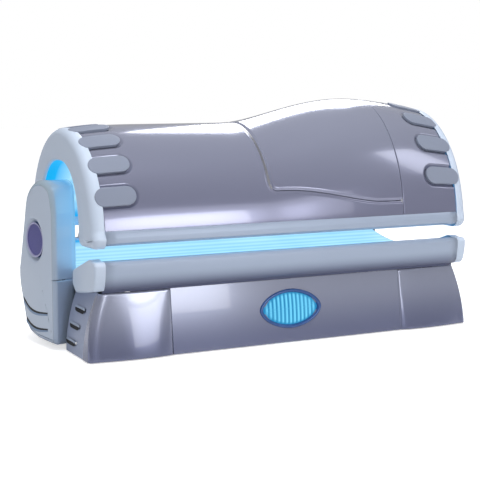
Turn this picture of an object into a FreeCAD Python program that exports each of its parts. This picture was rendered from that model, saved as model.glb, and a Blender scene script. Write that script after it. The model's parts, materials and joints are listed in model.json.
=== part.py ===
# Clamshell tanning bed with one blower pod at its foot end.
#
# Millimetres, +Z up.  While the pieces are being made, x runs along the bed from its middle,
# y is the distance behind the front face of the rails, and z is the height above the floor.
# The last step moves everything so that the origin is under the middle of the whole object.
import FreeCAD, Part
import math
import os

V = FreeCAD.Vector
os.makedirs("parts", exist_ok=True)

# ---------------------------------------------------------------- driving dimensions
depth = 1050.0            # front face of the front rails to the back face of the rear rails
body_half = 1060.0        # half length of the canopy shell
rail_end = 7.0            # the bed rails run this far past the shell ...
cap_length = 58.0         # ... the end caps and rings this far past the bed rails ...
foot_spread = 88.0        # ... and the foot panels' corners this far, at the floor
pod_width = 176.0         # inner face of the blower pod to its widest point
wall = 4.0                # moulded panel thickness
seam = 3.0                # gap between neighbouring canopy panels
panel_gap = 1.0           # clearance where one panel is cut round another
panel_fit = 1.3           # clearance where one panel lies inside another

# floor, feet and base
fascia_bottom = 6.0       # the panels stop this far above the floor
fascia_top = 344.0
fascia_foot_y = 21.0      # the fascia leans back from here ...
fascia_head_y = 62.0      # ... to here
fascia_return = 24.0      # the flange along the fascia's top
crease_x = 695.0          # where the flat fascia meets the foot panels
flare = 78.0              # how far the foot panels flare out from top to floor
flare_height = 360.0
side_front_low = 116.0    # front edge of the side panels at the floor ...
side_front_high = 92.0    # ... and at their top
side_lap = 2.0            # how far the foot panels lap over that edge
rear_panel_inset = 50.0
strut_bay = 192.0         # the right side panel stops this far from the back, for the strut
foot_radius = 30.0
foot_pad = 12.0
foot_stud_radius = 6.0
tube = 40.0               # square frame tube
tube_wall = 2.0
frame_inset = 75.0        # frame end to shell end
frame_front_y = 150.0
frame_rear_inset = 145.0
frame_low_z = 60.0
frame_high_z = 292.0
bench_arm = 16.0          # thickness of the arms that carry the bench rails
stand_off = 24.0          # width of the blocks between frame and panels
panel_hold_x = 600.0      # where the fascia and the rear panel are held

# bench
bench_low_z = 405.0       # lowest line of the acrylic
bench_rise = 84.0         # how much higher its long edges are
acrylic = 5.0
lamp_radius = 19.0
lamp_glass = 1.0
lamp_gap = 9.0            # acrylic to lamp
reflector_gap = 26.0      # lamp axis to reflector
sheet = 2.0
bench_lamps = 16
lamp_inset = 60.0         # lamp end to shell end
holder_width = 24.0
end_lip = 6.0             # the end cap's band stands this far above the acrylic
end_band = 76.0           # height of that band
end_band_thick = 7.0

# rails
bed_rail_low_z = 364.0
bed_rail_crease_z = 493.0
bed_rail_top_z = 508.0
rail_depth = 60.0
rail_wall = 3.0
rail_lip = 18.0           # a lip under the rail closes the gap over the fascia
horn_end_y = 342.0        # the bed end caps' front horns reach back to here
horn_end_top_z = 438.0
horn_end_low_z = 318.0
horn_peak_y = 96.0
horn_peak_z = 517.0
horn_round = 20.0
canopy_rail_low_z = 586.0
canopy_rail_top_z = 659.0
canopy_rail_flat_y = 70.0  # back edge of the rail's flat top
canopy_ledge_y = 126.0    # the rail's inner ledge reaches back to the acrylic
canopy_ledge_z = 606.0
ledge_seat = 14.0         # width of the seat that the acrylic stands on

# canopy arch: half an ellipse over the middle of the depth
arch_z = 600.0
shell_inset = 25.0        # shell foot behind the rail's face
shell_fuller = 16.0       # how much wider the shell is at the head
shell_level = 566.0       # height of the shell over arch_z at the foot end
shell_swell = 130.0
swell_peak_inset = 460.0  # from the swell's peak to the head end
head_fall = 64.0
foot_fall = 18.0
shell_wall = 5.0
tunnel_inset = 123.0      # acrylic arch behind the rail's face
tunnel_b = 398.0          # acrylic arch, height over arch_z
tunnel_low_z = 640.0
lining_length = 102.0     # plain lining between acrylic and end ring
canopy_lamps = 16
short_lamp_end = 190.0
lamp_arc_margin = 17.0    # degrees from level to the lowest canopy lamp
hoop = 12.0               # section of the canopy's hoops and long bars
hoop_gap = 6.0
former = 24.0             # width of the flanges under the shell's seams
former_fit = 0.3
reflector_fold = 2.0      # the folded reflector's creases stand this far off its holders
facial_start = 230.0      # the face lamp unit, along the bed
facial_end = 680.0
facial_half = 165.0
facial_lap = 8.0          # the housing stands this far outside the filter's edge

# end rings of the canopy
ring_bottom_z = 570.0
ring_hole_shift = 20.0    # middle of the opening, behind the middle of the depth
ring_hole_a = 310.0
ring_hole_b = 383.0
ring_hole_power = 2.4
ring_proud = 5.0
ring_round = 28.0
ring_skin = 14.0

# vent tabs that lap from the end rings onto the shell
tab_count = 8
tab_length = 220.0
tab_overhang = 36.0       # the tabs run this far past the shell, over the ring
tab_width = 98.0
tab_first_deg = 24.0
tab_rise = 3.0
tab_thick = 6.0
tab_gap = 1.5
vent_margin = 10.0

# face panel groove
groove_x = -112.0
groove_low_z = 816.0
panel_end_x = 698.0
groove_end_z = 738.0
groove_corner = 46.0

# lens in the fascia
lens_z = 184.0
bezel_half_width = 190.0
bezel_half_height = 107.0
bezel_width = 22.0
bezel_proud = 9.0
bezel_seat = 0.5
lens_ribs = 15
lens_rib_pitch = 20.5
lens_rib_radius = 6.0
lens_lamp_half = 120.0
lens_lamp_radius = 13.0
lens_lamp_depth = 34.0

# hinge and gas struts
hinge_inset = 78.0        # hinge pin in front of the back face
hinge_drop = 18.0         # hinge pin under the canopy rail
hinge_pin_radius = 7.0
hinge_clearance = 0.05
hinge_end_inset = 240.0   # outer hinges to shell end
hinge_knuckle = 15.0      # outer radius of a knuckle
knuckle_width = 44.0
hinge_ear = 10.0
hinge_plate = 6.0
knuckle_gap = 0.5
strut_past = 34.0         # struts outside the shell's end
strut_foot_inset = 105.0
strut_foot_z = 262.0
strut_head_inset = 156.0
strut_head_rise = 26.0    # strut head over the canopy rail's underside
strut_tube_radius = 11.0
strut_rod_radius = 5.0
strut_tube_length = 232.0
strut_pin_radius = 4.0
strut_eye_radius = 12.0
strut_eye_half = 6.0
strut_eye_clearance = 3.2  # the open pivot at the rod end
strut_foot_clearance = 0.05
rod_clearance = 0.05

# blower pod
pod_front_width = 132.0
pod_front_inset = 137.0   # front of the pod before the middle of the depth
pod_peak = 442.0          # from its front to its widest point
pod_seam_z = 372.0
pod_bottom_z = 30.0
pod_top_z = 880.0
pod_wall = 5.0
pod_plate_inset = 16.0
pod_plate_depth = 14.0
pod_joint = 1.5
pod_corner = 22.0
disc_run = 242.0          # from the pod's front to the disc's middle
disc_z = 560.0
disc_sunk = 4.5
disc_radius = 84.0
disc_rim_radius = 94.0
disc_rim_gap = 4.0
dish_depth = 28.0
dish_spread = 54.0
dish_wall = 6.0
disc_turn = 11.0          # degrees that the disc faces forward
louvre_count = 15

# fans
fan_radius = 70.0
fan_hub_radius = 24.0
fan_depth = 24.0
fan_frame = 160.0
fan_frame_depth = 40.0
fan_blades = 7
fan_shaft_radius = 4.0
fan_tip_gap = 3.0
fan_end_gap = 2.0
fan_bearing_gap = 0.05
base_fan_x = 520.0
base_fan_z = 180.0

# mains inlet
inlet_z = 120.0
inlet_radius = 15.0
inlet_bore = 8.0

# control panel and buttons
panel_x = 350.0
panel_width = 190.0
panel_height = 30.0
panel_depth = 16.0
button_radius = 9.0
button_pitch = 48.0
button_proud = 5.0
button_travel = 3.0
button_gap = 0.4
button_names = ("start", "stop", "fan")

# ---------------------------------------------------------------- derived places
mid_y = depth / 2.0
rail_half = body_half + rail_end
cap_half = rail_half + cap_length
foot_reach = rail_half + foot_spread
pod_inner_x = rail_half + end_band_thick
pod_front_x = pod_inner_x + pod_front_width
pod_reach = pod_inner_x + pod_width
pod_front_y = mid_y - pod_front_inset
frame_half = body_half - frame_inset
frame_rear_y = depth - frame_rear_inset
rear_panel_y = depth - rear_panel_inset
lamp_half = body_half - lamp_inset
tunnel_half = body_half - lining_length
tunnel_a = mid_y - tunnel_inset
lean = math.atan2(fascia_head_y - fascia_foot_y, fascia_top)
bench_half = mid_y - rail_depth
bench_radius = (bench_half ** 2 + bench_rise ** 2) / (2.0 * bench_rise)
bench_centre_z = bench_low_z + bench_radius
bench_lamp_line = bench_radius + acrylic + lamp_gap + lamp_radius
bench_reflector_line = bench_lamp_line + reflector_gap
arch_lamp_offset = acrylic + lamp_gap + lamp_radius
arch_reflector_offset = arch_lamp_offset + reflector_gap
ring_hole_y = mid_y + ring_hole_shift
tab_outer_x = body_half + tab_overhang
tab_inner_x = tab_outer_x - tab_length
hinge_y = depth - hinge_inset
hinge_z = canopy_rail_low_z - hinge_drop
hinge_places = (hinge_end_inset - body_half, 0.0, body_half - hinge_end_inset)
strut_x = body_half + strut_past
strut_foot_y = depth - strut_foot_inset
strut_head_y = depth - strut_head_inset
strut_head_z = canopy_rail_low_z + strut_head_rise
origin_x = (foot_reach - pod_reach) / 2.0
origin_y = mid_y


# ---------------------------------------------------------------- small helpers
def save(name, shape):
    """Move a finished piece into the object's own frame and write it."""
    placed = shape.copy()
    placed.translate(V(-origin_x, -origin_y, 0.0))
    placed.exportStep(os.path.join("parts", name + ".step"))


def block(x0, x1, y0, y1, z0, z1):
    return Part.makeBox(x1 - x0, y1 - y0, z1 - z0, V(x0, y0, z0))


def rod(start, end, radius):
    run = end - start
    return Part.makeCylinder(radius, run.Length, start, run)


def side_prism(wire, x0, x1):
    """A wire drawn at x = 0, made solid from x0 to x1."""
    face = Part.Face(wire)
    face.translate(V(x0, 0.0, 0.0))
    return face.extrude(V(x1 - x0, 0.0, 0.0))


def rounded_end(outline, x_back, x_face, radius, steps=4):
    """A prism whose outline(inset) shrinks round a quarter circle towards its outer face."""
    sections = [(x_back, 0.0)]
    toward = math.copysign(1.0, x_face - x_back)
    for index in range(steps + 1):
        angle = 0.5 * math.pi * index / steps
        sections.append((x_face - toward * radius * (1.0 - math.sin(angle)),
                         radius * (1.0 - math.cos(angle))))
    wires = []
    for x, inset in sections:
        wire = outline(inset)
        wire.translate(V(x, 0.0, 0.0))
        wires.append(wire)
    return Part.makeLoft(wires, True, True)


def spline(points):
    curve = Part.BSplineCurve()
    curve.interpolate(points)
    return curve.toShape()


def polygon(points):
    return Part.makePolygon(points + points[:1])


def yz(points):
    return [V(0.0, y, z) for y, z in points]


def mirrored(shape):
    """The same piece at the other end of the bed."""
    return shape.mirror(V(0.0, 0.0, 0.0), V(1.0, 0.0, 0.0))


def turned_back(shape):
    """The same piece at the back of the bed."""
    return shape.mirror(V(0.0, mid_y, 0.0), V(0.0, 1.0, 0.0))


def group(shapes):
    return Part.makeCompound(shapes)


def square_tube(start, end):
    """A square frame tube between two points, along one of the axes."""
    run = end - start
    half = tube / 2.0
    hollow = half - tube_wall
    grow = V(0.0 if run.x else half, 0.0 if run.y else half, 0.0 if run.z else half)
    bore = V(0.0 if run.x else hollow, 0.0 if run.y else hollow, 0.0 if run.z else hollow)
    outer = block(start.x - grow.x, end.x + grow.x, start.y - grow.y, end.y + grow.y,
                  start.z - grow.z, end.z + grow.z)
    inner = block(start.x - bore.x, end.x + bore.x, start.y - bore.y, end.y + bore.y,
                  start.z - bore.z, end.z + bore.z)
    return outer.cut(inner)


# ---------------------------------------------------------------- arches
def arch_points(x, a, b, low_z, centre_y=mid_y, power=2.0, count=17):
    """Points over half a superellipse, from its front foot to its rear foot."""
    start = math.asin(min(1.0, ((low_z - arch_z) / b) ** (power / 2.0)))
    points = []
    for index in range(count):
        angle = start + (math.pi - 2.0 * start) * index / (count - 1)
        across = math.copysign(abs(math.cos(angle)) ** (2.0 / power), math.cos(angle))
        up = math.sin(angle) ** (2.0 / power)
        points.append(V(x, centre_y - a * across, arch_z + b * up))
    return points


def arch_wire(x, a, b, thickness, low_z):
    """The closed outline of a curved sheet that arches over the bed."""
    outer = arch_points(x, a, b, low_z)
    inner = arch_points(x, a - thickness, b - thickness, low_z)
    return Part.Wire([spline(outer), Part.makeLine(outer[-1], inner[-1]),
                      spline(list(reversed(inner))), Part.makeLine(inner[0], outer[0])])


def arch_sheet(a, b, thickness, low_z, x0, x1):
    face = Part.Face(arch_wire(x0, a, b, thickness, low_z))
    return face.extrude(V(x1 - x0, 0.0, 0.0))


def folded_sheet(a, b, thickness, low_z, x0, x1, creases):
    """A sheet folded to flats that stand round an arch."""
    outer = arch_points(x0, a, b, low_z, count=creases)
    inner = arch_points(x0, a - thickness, b - thickness, low_z, count=creases)
    face = Part.Face(polygon(outer + list(reversed(inner))))
    return face.extrude(V(x1 - x0, 0.0, 0.0))


def shell_rise(x):
    """Height of the canopy shell over arch_z: level at the foot end, a long swell at the head."""
    fall_run = 300.0
    swell_start = groove_x - 40.0
    swell_peak = body_half - swell_peak_inset
    if x < swell_start:
        return shell_level - foot_fall * max(0.0, (fall_run - body_half - x) / fall_run) ** 2
    if x < swell_peak:
        part = (x - swell_start) / (swell_peak - swell_start)
        return shell_level + shell_swell * math.sin(0.5 * math.pi * part) ** 1.5
    part = (x - swell_peak) / swell_peak_inset
    return shell_level + shell_swell - head_fall * part ** 1.7


def shell_width(x):
    """Half width of the canopy shell: a little fuller where it swells."""
    run = 500.0
    return mid_y - shell_inset + shell_fuller * min(1.0, max(0.0, (x - groove_x) / run))


def shell_layer(x_places, inset, thickness, low_z=canopy_rail_top_z):
    """A sheet that follows the shell's outer surface, inset from it."""
    wires = [arch_wire(x, shell_width(x) - inset, shell_rise(x) - inset, thickness, low_z)
             for x in x_places]
    return Part.makeLoft(wires, True, False)


def panel_outline(grow):
    """The face panel's outline seen from the front; grow moves it outwards for the seam."""
    left = groove_x - grow
    low = groove_low_z - grow
    end_low = groove_end_z - grow
    right = panel_end_x + grow
    top = arch_z + 900.0
    corner = groove_corner
    wave = [V(left + corner, 0.0, low + 4.0), V(70.0, 0.0, low), V(230.0, 0.0, low - 22.0),
            V(380.0, 0.0, low - 52.0), V(520.0, 0.0, end_low + 4.0), V(right, 0.0, end_low)]
    turn = Part.Arc(V(left, 0.0, low + corner + 4.0),
                    V(left + 0.29 * corner, 0.0, low + 0.29 * corner + 4.0), wave[0])
    return Part.Wire([Part.makeLine(V(left, 0.0, top), V(left, 0.0, low + corner + 4.0)),
                      turn.toShape(), spline(wave),
                      Part.makeLine(wave[-1], V(right, 0.0, top)),
                      Part.makeLine(V(right, 0.0, top), V(left, 0.0, top))])


def panel_cutter(grow):
    return Part.Face(panel_outline(grow)).extrude(V(0.0, depth, 0.0))


# ---------------------------------------------------------------- canopy skin
def tab_angle(index):
    step = (180.0 - 2.0 * tab_first_deg) / (tab_count - 1)
    return math.radians(tab_first_deg + step * index)


def tab_prism(side, index, grow, inner_grow):
    """A pill-shaped prism that stands on the shell where one tab sits."""
    angle = tab_angle(index)
    x_mid = side * (tab_inner_x + tab_outer_x) / 2.0
    a = shell_width(x_mid)
    b = shell_rise(x_mid)
    foot = V(0.0, mid_y - a * math.cos(angle), arch_z + b * math.sin(angle))
    normal = V(0.0, -math.cos(angle) / a, math.sin(angle) / b).normalize()
    radius = tab_width / 2.0 + grow
    inner = side * (tab_inner_x + tab_width / 2.0 - inner_grow)
    outer = side * (tab_outer_x - tab_width / 2.0)
    reach = 70.0
    along = V(0.0, -normal.z, normal.y)
    corners = [foot + V(inner, 0, 0) + along * radius, foot + V(outer, 0, 0) + along * radius,
               foot + V(outer, 0, 0) - along * radius, foot + V(inner, 0, 0) - along * radius]
    tips = [foot + V(outer + side * radius, 0, 0), foot + V(inner - side * radius, 0, 0)]
    wire = Part.Wire([Part.makeLine(corners[0], corners[1]),
                      Part.Arc(corners[1], tips[0], corners[2]).toShape(),
                      Part.makeLine(corners[2], corners[3]),
                      Part.Arc(corners[3], tips[1], corners[0]).toShape()])
    face = Part.Face(wire)
    face.translate(normal * (-reach / 2.0))
    return face.extrude(normal * reach)


def tab_places(side):
    return [side * (body_half + step) for step in (-200.0, -130.0, -60.0, 0.0, 50.0)]


def vent_tabs(side):
    layer = shell_layer(tab_places(side), -(tab_rise + tab_thick), tab_thick)
    return [layer.common(tab_prism(side, index, 0.0, 0.0)) for index in range(tab_count)]


def tab_seats(side):
    """The shallow seats that hold the tabs' outer halves in an end ring."""
    room = 40.0
    layer = shell_layer(tab_places(side), -(tab_rise + room), room)
    return [layer.common(tab_prism(side, index, tab_gap, tab_gap)) for index in range(tab_count)]


def vent_openings(side):
    shrink = tab_width / 2.0 - 18.0
    return [tab_prism(side, index, -shrink, vent_margin - shrink) for index in range(tab_count)]


def canopy_shell():
    peak = body_half - swell_peak_inset
    places = [-body_half, -body_half + 80.0, -body_half + 160.0, -body_half + 300.0, -500.0,
              groove_x - 40.0, 0.0, 0.2 * peak, 0.4 * peak, 0.6 * peak, 0.8 * peak, peak,
              body_half - 360.0, body_half - 260.0, body_half - 160.0, body_half - 80.0, body_half]
    whole = shell_layer(places, 0.0, shell_wall)
    for side in (-1, 1):
        for opening in vent_openings(side):
            whole = whole.cut(opening)
    head_side = block(panel_end_x + seam, body_half + 1.0, -50.0, depth + 50.0, 0.0, 1500.0)
    foot_side = block(-body_half - 1.0, panel_end_x, -50.0, depth + 50.0, 0.0, 1500.0)
    face_panel = whole.common(panel_cutter(0.0))
    head_panel = whole.common(head_side)
    foot_panel = whole.common(foot_side).cut(panel_cutter(seam))
    return foot_panel, face_panel, head_panel


def ring_outline(side, inset):
    """An end ring seen from the end: arch, two legs and the opening between them."""
    a = shell_width(side * body_half) + ring_proud - inset
    b = shell_rise(side * body_half) + ring_proud - inset
    outer = arch_points(0.0, a, b, canopy_rail_top_z)
    hole = arch_points(0.0, ring_hole_a + inset, ring_hole_b + inset, tunnel_low_z, ring_hole_y,
                       ring_hole_power)
    low = ring_bottom_z + inset
    rear_low = canopy_rail_low_z + inset
    front_nose = inset
    rear_nose = depth - inset
    toe = 44.0
    front_foot = [V(0, hole[0].y, hole[0].z), V(0, hole[0].y - 0.3 * toe, low + 0.5 * toe),
                  V(0, hole[0].y - toe, low)]
    rear_foot = V(0, hole[-1].y, rear_low)
    bottom_front = V(0, 22.0 + inset, low + 8.0)
    nose_low = V(0, front_nose, 600.0 + 0.5 * inset)
    nose_high = V(0, front_nose, 628.0)
    rear_nose_high = V(0, rear_nose, 628.0)
    rear_nose_low = V(0, rear_nose, 600.0 + 0.5 * inset)
    rear_bottom = V(0, depth - 22.0 - inset, rear_low)
    return Part.Wire([
        spline(outer),
        Part.makeLine(outer[-1], rear_nose_high),
        Part.makeLine(rear_nose_high, rear_nose_low),
        Part.makeLine(rear_nose_low, rear_bottom),
        Part.makeLine(rear_bottom, rear_foot),
        Part.makeLine(rear_foot, hole[-1]),
        spline(list(reversed(hole))),
        Part.Arc(front_foot[0], front_foot[1], front_foot[2]).toShape(),
        Part.makeLine(front_foot[2], bottom_front),
        Part.makeLine(bottom_front, nose_low),
        Part.makeLine(nose_low, nose_high),
        Part.makeLine(nose_high, outer[0])])


def end_ring(side):
    """An end ring: a hollow moulding, open towards the shell."""
    def outline(inset):
        return ring_outline(side, inset)
    body = rounded_end(outline, side * body_half, side * cap_half, ring_round)
    hollow = side_prism(outline(ring_skin), side * (body_half - 1.0), side * (cap_half - ring_skin))
    x0, x1 = sorted((side * (strut_x - 14.0), side * (strut_x + 14.0)))
    strut_slot = block(x0, x1, strut_head_y - 16.0, strut_head_y + 42.0,
                       canopy_rail_low_z - 10.0, canopy_rail_low_z + ring_skin + 1.0)
    ring = body.cut(hollow).cut(strut_slot)
    for seat in tab_seats(side):
        ring = ring.cut(seat)
    return ring


def end_lining(side):
    """Plain end of the tunnel: a curved sheet, and the plate that closes the ring's hollow."""
    plate_thick = 3.0
    lap = 3.0
    outer = side * body_half
    inner = side * (body_half - plate_thick)
    plate = side_prism(ring_outline(side, lap), inner, outer)
    under_shell = arch_points(0.0, shell_width(outer) - shell_wall - panel_gap,
                              shell_rise(outer) - shell_wall - panel_gap, canopy_rail_top_z)
    room = Part.Wire([spline(under_shell), Part.makeLine(under_shell[-1], under_shell[0])])
    x0, x1 = sorted((inner, outer))
    nose = 20.0
    below = block(x0, x1, nose, depth - nose, ring_bottom_z - lap, canopy_rail_top_z)
    plate = plate.common(side_prism(room, inner, outer).fuse(below))
    rail_room = side_prism(canopy_rail_wire(-0.5), side * (body_half - 10.0), side * (body_half + 1.0))
    plate = plate.cut([rail_room, turned_back(rail_room)])
    x0, x1 = sorted((side * (tunnel_half + panel_gap), inner))
    curve = arch_sheet(tunnel_a + acrylic, tunnel_b + acrylic, acrylic, tunnel_low_z, x0, x1)
    return plate.fuse(curve)


# ---------------------------------------------------------------- rails
def bed_rail_wire(inset, lip=0.0):
    """The bed rail's section; with a lip, its back wall runs on below the underside."""
    low = bed_rail_low_z + inset
    back = rail_depth - inset
    belly_start, belly_end = yz([(30.0, low), (inset, 470.0)])
    belly = Part.Arc(belly_start, V(0.0, 7.0 + inset, 415.0), belly_end)
    upper = yz([(inset, 470.0), (inset, bed_rail_crease_z - 0.3 * inset),
                (14.0 + 0.3 * inset, bed_rail_top_z - inset), (back, bed_rail_top_z - inset)])
    lower = yz([(back, low)])
    if lip:
        lower = yz([(back, low - lip), (back - rail_wall, low - lip), (back - rail_wall, low)])
    points = upper + lower + [belly_start]
    edges = [Part.makeLine(start, end) for start, end in zip(points, points[1:])]
    return Part.Wire(edges + [belly.toShape()])


def canopy_rail_wire(inset):
    low = canopy_rail_low_z + inset
    high = canopy_rail_top_z - inset
    back = canopy_ledge_y - inset
    ledge_top = tunnel_low_z - inset
    points = yz([(back, canopy_ledge_z + 0.6 * inset), (back - 26.0, low), (24.0, low),
                 (inset, 600.0 + 0.6 * inset), (inset, 628.0 - 0.3 * inset),
                 (5.0 + 0.8 * inset, 648.0 - 0.5 * inset), (11.0 + 0.5 * inset, high),
                 (canopy_rail_flat_y, high), (back - ledge_seat, ledge_top), (back, ledge_top)])
    return polygon(points)


def hollow_rail(outer, inner, half_length):
    return side_prism(outer, -half_length, half_length).cut(
        side_prism(inner, -half_length - 1.0, half_length + 1.0))


def bench_sheet(drop, thickness, y0, y1, x0, x1):
    """A curved sheet under the bench curve, dropped square to it."""
    def bow(radius, reverse):
        z0 = bench_centre_z - math.sqrt(radius ** 2 - (y0 - mid_y) ** 2)
        z1 = bench_centre_z - math.sqrt(radius ** 2 - (y1 - mid_y) ** 2)
        middle = V(0.0, mid_y, bench_centre_z - radius)
        ends = [V(0.0, y0, z0), V(0.0, y1, z1)]
        if reverse:
            ends.reverse()
        return Part.Arc(ends[0], middle, ends[1]).toShape(), ends
    top, top_ends = bow(bench_radius + drop, False)
    low, low_ends = bow(bench_radius + drop + thickness, True)
    wire = Part.Wire([top, Part.makeLine(top_ends[1], low_ends[0]), low,
                      Part.makeLine(low_ends[1], top_ends[0])])
    return side_prism(wire, x0, x1)


def horn_outline(inset):
    """The front horn of a bed end cap, seen from the end."""
    i = inset
    points = yz([(30.0 + 0.6 * i, bed_rail_low_z + i), (i, 470.0), (i, bed_rail_crease_z - 0.4 * i),
                 (15.0 + 0.5 * i, bed_rail_top_z + 1.0 - i), (60.0, bed_rail_top_z + 1.0 - i),
                 (horn_peak_y, horn_peak_z - i), (horn_end_y - 16.0 - 0.3 * i, horn_end_top_z - i),
                 (horn_end_y - i, horn_end_top_z - 18.0 - i), (horn_end_y - i, horn_end_low_z + 40.0),
                 (horn_end_y - 46.0 - 0.4 * i, horn_end_low_z + i), (150.0, 338.0 + i)])
    belly = Part.Arc(points[0], V(0.0, 8.0 + i, 415.0), points[1])
    edges = [belly.toShape()]
    for start, end in zip(points[1:], points[2:] + points[:1]):
        edges.append(Part.makeLine(start, end))
    return Part.Wire(edges)


def bed_end_cap():
    """The left bed end cap: a rounded horn at the front and a thin band round the bench."""
    horn = rounded_end(horn_outline, -rail_half, -cap_half, horn_round)
    lap = 10.0
    outer = -rail_half - end_band_thick
    band = bench_sheet(-end_lip, end_band, rail_depth - lap, depth - rail_depth + lap, outer, -rail_half)
    rear_plug = side_prism(bed_rail_wire(0.0), outer, -rail_half)
    return horn.fuse([band, turned_back(rear_plug)])


# ---------------------------------------------------------------- base panels
def fascia_y(z):
    return fascia_foot_y + (fascia_head_y - fascia_foot_y) * z / fascia_top


def flare_x(z):
    return foot_reach - flare * (z / flare_height) ** 2


def foot_section(z, inset):
    """A foot panel's curve at one height, as edges from the crease round the corner."""
    share = z / fascia_top
    base = fascia_y(z) + inset
    bulge = 19.0 * (1.0 - share) + 4.0 * share
    edge_x = flare_x(z) - inset
    side_end = side_front_low + side_lap + (side_front_high - side_front_low) * share
    corner = 26.0 - inset
    shoulder = V(edge_x - corner, base - 0.35 * bulge + 2.0, z)
    front = [V(crease_x, base, z), V(crease_x + 105.0, base - 0.75 * bulge, z),
             V(crease_x + 250.0, base - bulge, z), shoulder]
    turn_mid = V(edge_x - 0.29 * corner, shoulder.y + 0.29 * corner, z)
    turn_end = V(edge_x, shoulder.y + corner, z)
    side = V(edge_x, side_end, z)
    return front, turn_mid, turn_end, side


def foot_panel():
    """The right foot panel: the fascia's end, swelling forward and flaring to the floor."""
    wires = []
    steps = 3
    for index in range(steps):
        z = fascia_bottom + (fascia_top - fascia_bottom) * index / (steps - 1)
        front, turn_mid, turn_end, side = foot_section(z, 0.0)
        inner, inner_mid, inner_end, inner_side = foot_section(z, wall)
        wires.append(Part.Wire([
            spline(front), Part.Arc(front[-1], turn_mid, turn_end).toShape(),
            Part.makeLine(turn_end, side), Part.makeLine(side, inner_side),
            Part.makeLine(inner_side, inner_end),
            Part.Arc(inner_end, inner_mid, inner[-1]).toShape(),
            spline(list(reversed(inner))), Part.makeLine(inner[0], front[0])]))
    return Part.makeLoft(wires, True, False)


def vesica(half_width, half_height, tip):
    """An almond outline in the x-y plane with rounded tips."""
    reach = half_width - tip
    radius = (reach ** 2 + half_height ** 2) / (2.0 * half_height)
    slope = math.asin(reach / radius)
    shift = tip / math.cos(slope) * 0.25
    left_top = V(-reach + shift, tip, 0.0)
    right_top = V(reach - shift, tip, 0.0)
    left_low = V(-reach + shift, -tip, 0.0)
    right_low = V(reach - shift, -tip, 0.0)
    return Part.Wire([
        Part.Arc(left_top, V(0.0, half_height, 0.0), right_top).toShape(),
        Part.Arc(right_top, V(half_width, 0.0, 0.0), right_low).toShape(),
        Part.Arc(right_low, V(0.0, -half_height, 0.0), left_low).toShape(),
        Part.Arc(left_low, V(-half_width, 0.0, 0.0), left_top).toShape()])


def on_fascia(shape):
    """Stand a shape drawn flat on the leaning fascia, at the lens centre."""
    shape.rotate(V(0, 0, 0), V(1, 0, 0), 90.0 - math.degrees(lean))
    shape.translate(V(0.0, fascia_y(lens_z), lens_z))
    return shape


def vesica_slab(shrink, low, high):
    wire = vesica(bezel_half_width - shrink, bezel_half_height - shrink, 20.0 - 0.3 * shrink)
    wire.translate(V(0, 0, low))
    return Part.Face(wire).extrude(V(0, 0, high - low))


def lens_pieces():
    lip_depth = 12.0
    bezel = vesica_slab(0.0, 0.0, bezel_proud).cut(vesica_slab(bezel_width, -1.0, bezel_proud + 1.0))
    lip = vesica_slab(bezel_seat + wall + 1.5, -lip_depth, 0.0).cut(
        vesica_slab(bezel_width, -lip_depth - 1.0, 1.0))
    bezel = bezel.fuse(lip)
    plate = vesica_slab(bezel_width, -6.0, -2.0)
    ribs = []
    for index in range(lens_ribs):
        x = (index - (lens_ribs - 1) / 2.0) * lens_rib_pitch
        ribs.append(rod(V(x, -bezel_half_height, -2.0), V(x, bezel_half_height, -2.0), lens_rib_radius))
    rib_room = vesica_slab(bezel_width + 4.0, -4.0, 8.0)
    lens = plate.fuse([rib.common(rib_room) for rib in ribs])
    tube_lamp = on_fascia(rod(V(-lens_lamp_half, 0.0, -lens_lamp_depth),
                              V(lens_lamp_half, 0.0, -lens_lamp_depth), lens_lamp_radius))
    arm = block(-12.0, 12.0, fascia_y(lens_z) + lens_lamp_depth + 5.0, frame_front_y - tube / 2.0,
                lens_z - 8.0, lens_z + 12.0)
    return on_fascia(bezel), on_fascia(lens), tube_lamp.fuse(arm)


def front_fascia():
    profile = yz([(fascia_y(fascia_bottom), fascia_bottom), (fascia_head_y, fascia_top),
                  (fascia_head_y + fascia_return, fascia_top),
                  (fascia_head_y + fascia_return, fascia_top - wall),
                  (fascia_y(fascia_top - wall) + wall, fascia_top - wall),
                  (fascia_y(fascia_bottom) + wall, fascia_bottom)])
    panel = side_prism(polygon(profile), -crease_x, crease_x)
    return panel.cut(on_fascia(vesica_slab(bezel_seat + wall + 1.0, -30.0, 30.0)))


def side_panel(rear_y):
    """The right side panel, flaring with the foot panel, with three slots for cooling air."""
    outer = [V(flare_x(z) - wall - panel_fit, 0.0, z) for z in (fascia_bottom, 90.0, 180.0, 270.0, fascia_top)]
    inner = [p - V(wall, 0.0, 0.0) for p in outer]
    wire = Part.Wire([spline(outer), Part.makeLine(outer[-1], inner[-1]),
                      spline(list(reversed(inner))), Part.makeLine(inner[0], outer[0])])
    near = rail_half - 60.0
    far = foot_reach + 50.0
    panel = Part.Face(wire).extrude(V(0.0, rear_y, 0.0))
    outline = polygon([V(near, side_front_high, fascia_top + 1.0), V(near, rear_y, fascia_top + 1.0),
                       V(near, rear_y, 0.0), V(near, side_front_low, 0.0)])
    panel = panel.common(Part.Face(outline).extrude(V(far - near, 0.0, 0.0)))
    panel = panel.cut(side_prism(horn_outline(-panel_gap), near, far))
    for step in range(3):
        z = 236.0 - 88.0 * step
        y = 165.0 + 30.0 * step
        panel = panel.cut(block(near, far, y, y + 150.0, z, z + 16.0))
    return panel


def rear_panel():
    half = body_half - 10.0
    front = rear_panel_y - 5.0
    back = rear_panel_y + wall + 5.0
    panel = block(-half, half, rear_panel_y, rear_panel_y + wall, fascia_bottom + 20.0, fascia_top)
    for x in (-base_fan_x, base_fan_x):
        panel = panel.cut(rod(V(x, front, base_fan_z), V(x, back, base_fan_z), fan_radius))
    return panel.cut(rod(V(0.0, front, inlet_z), V(0.0, back, inlet_z), inlet_radius))


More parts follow.
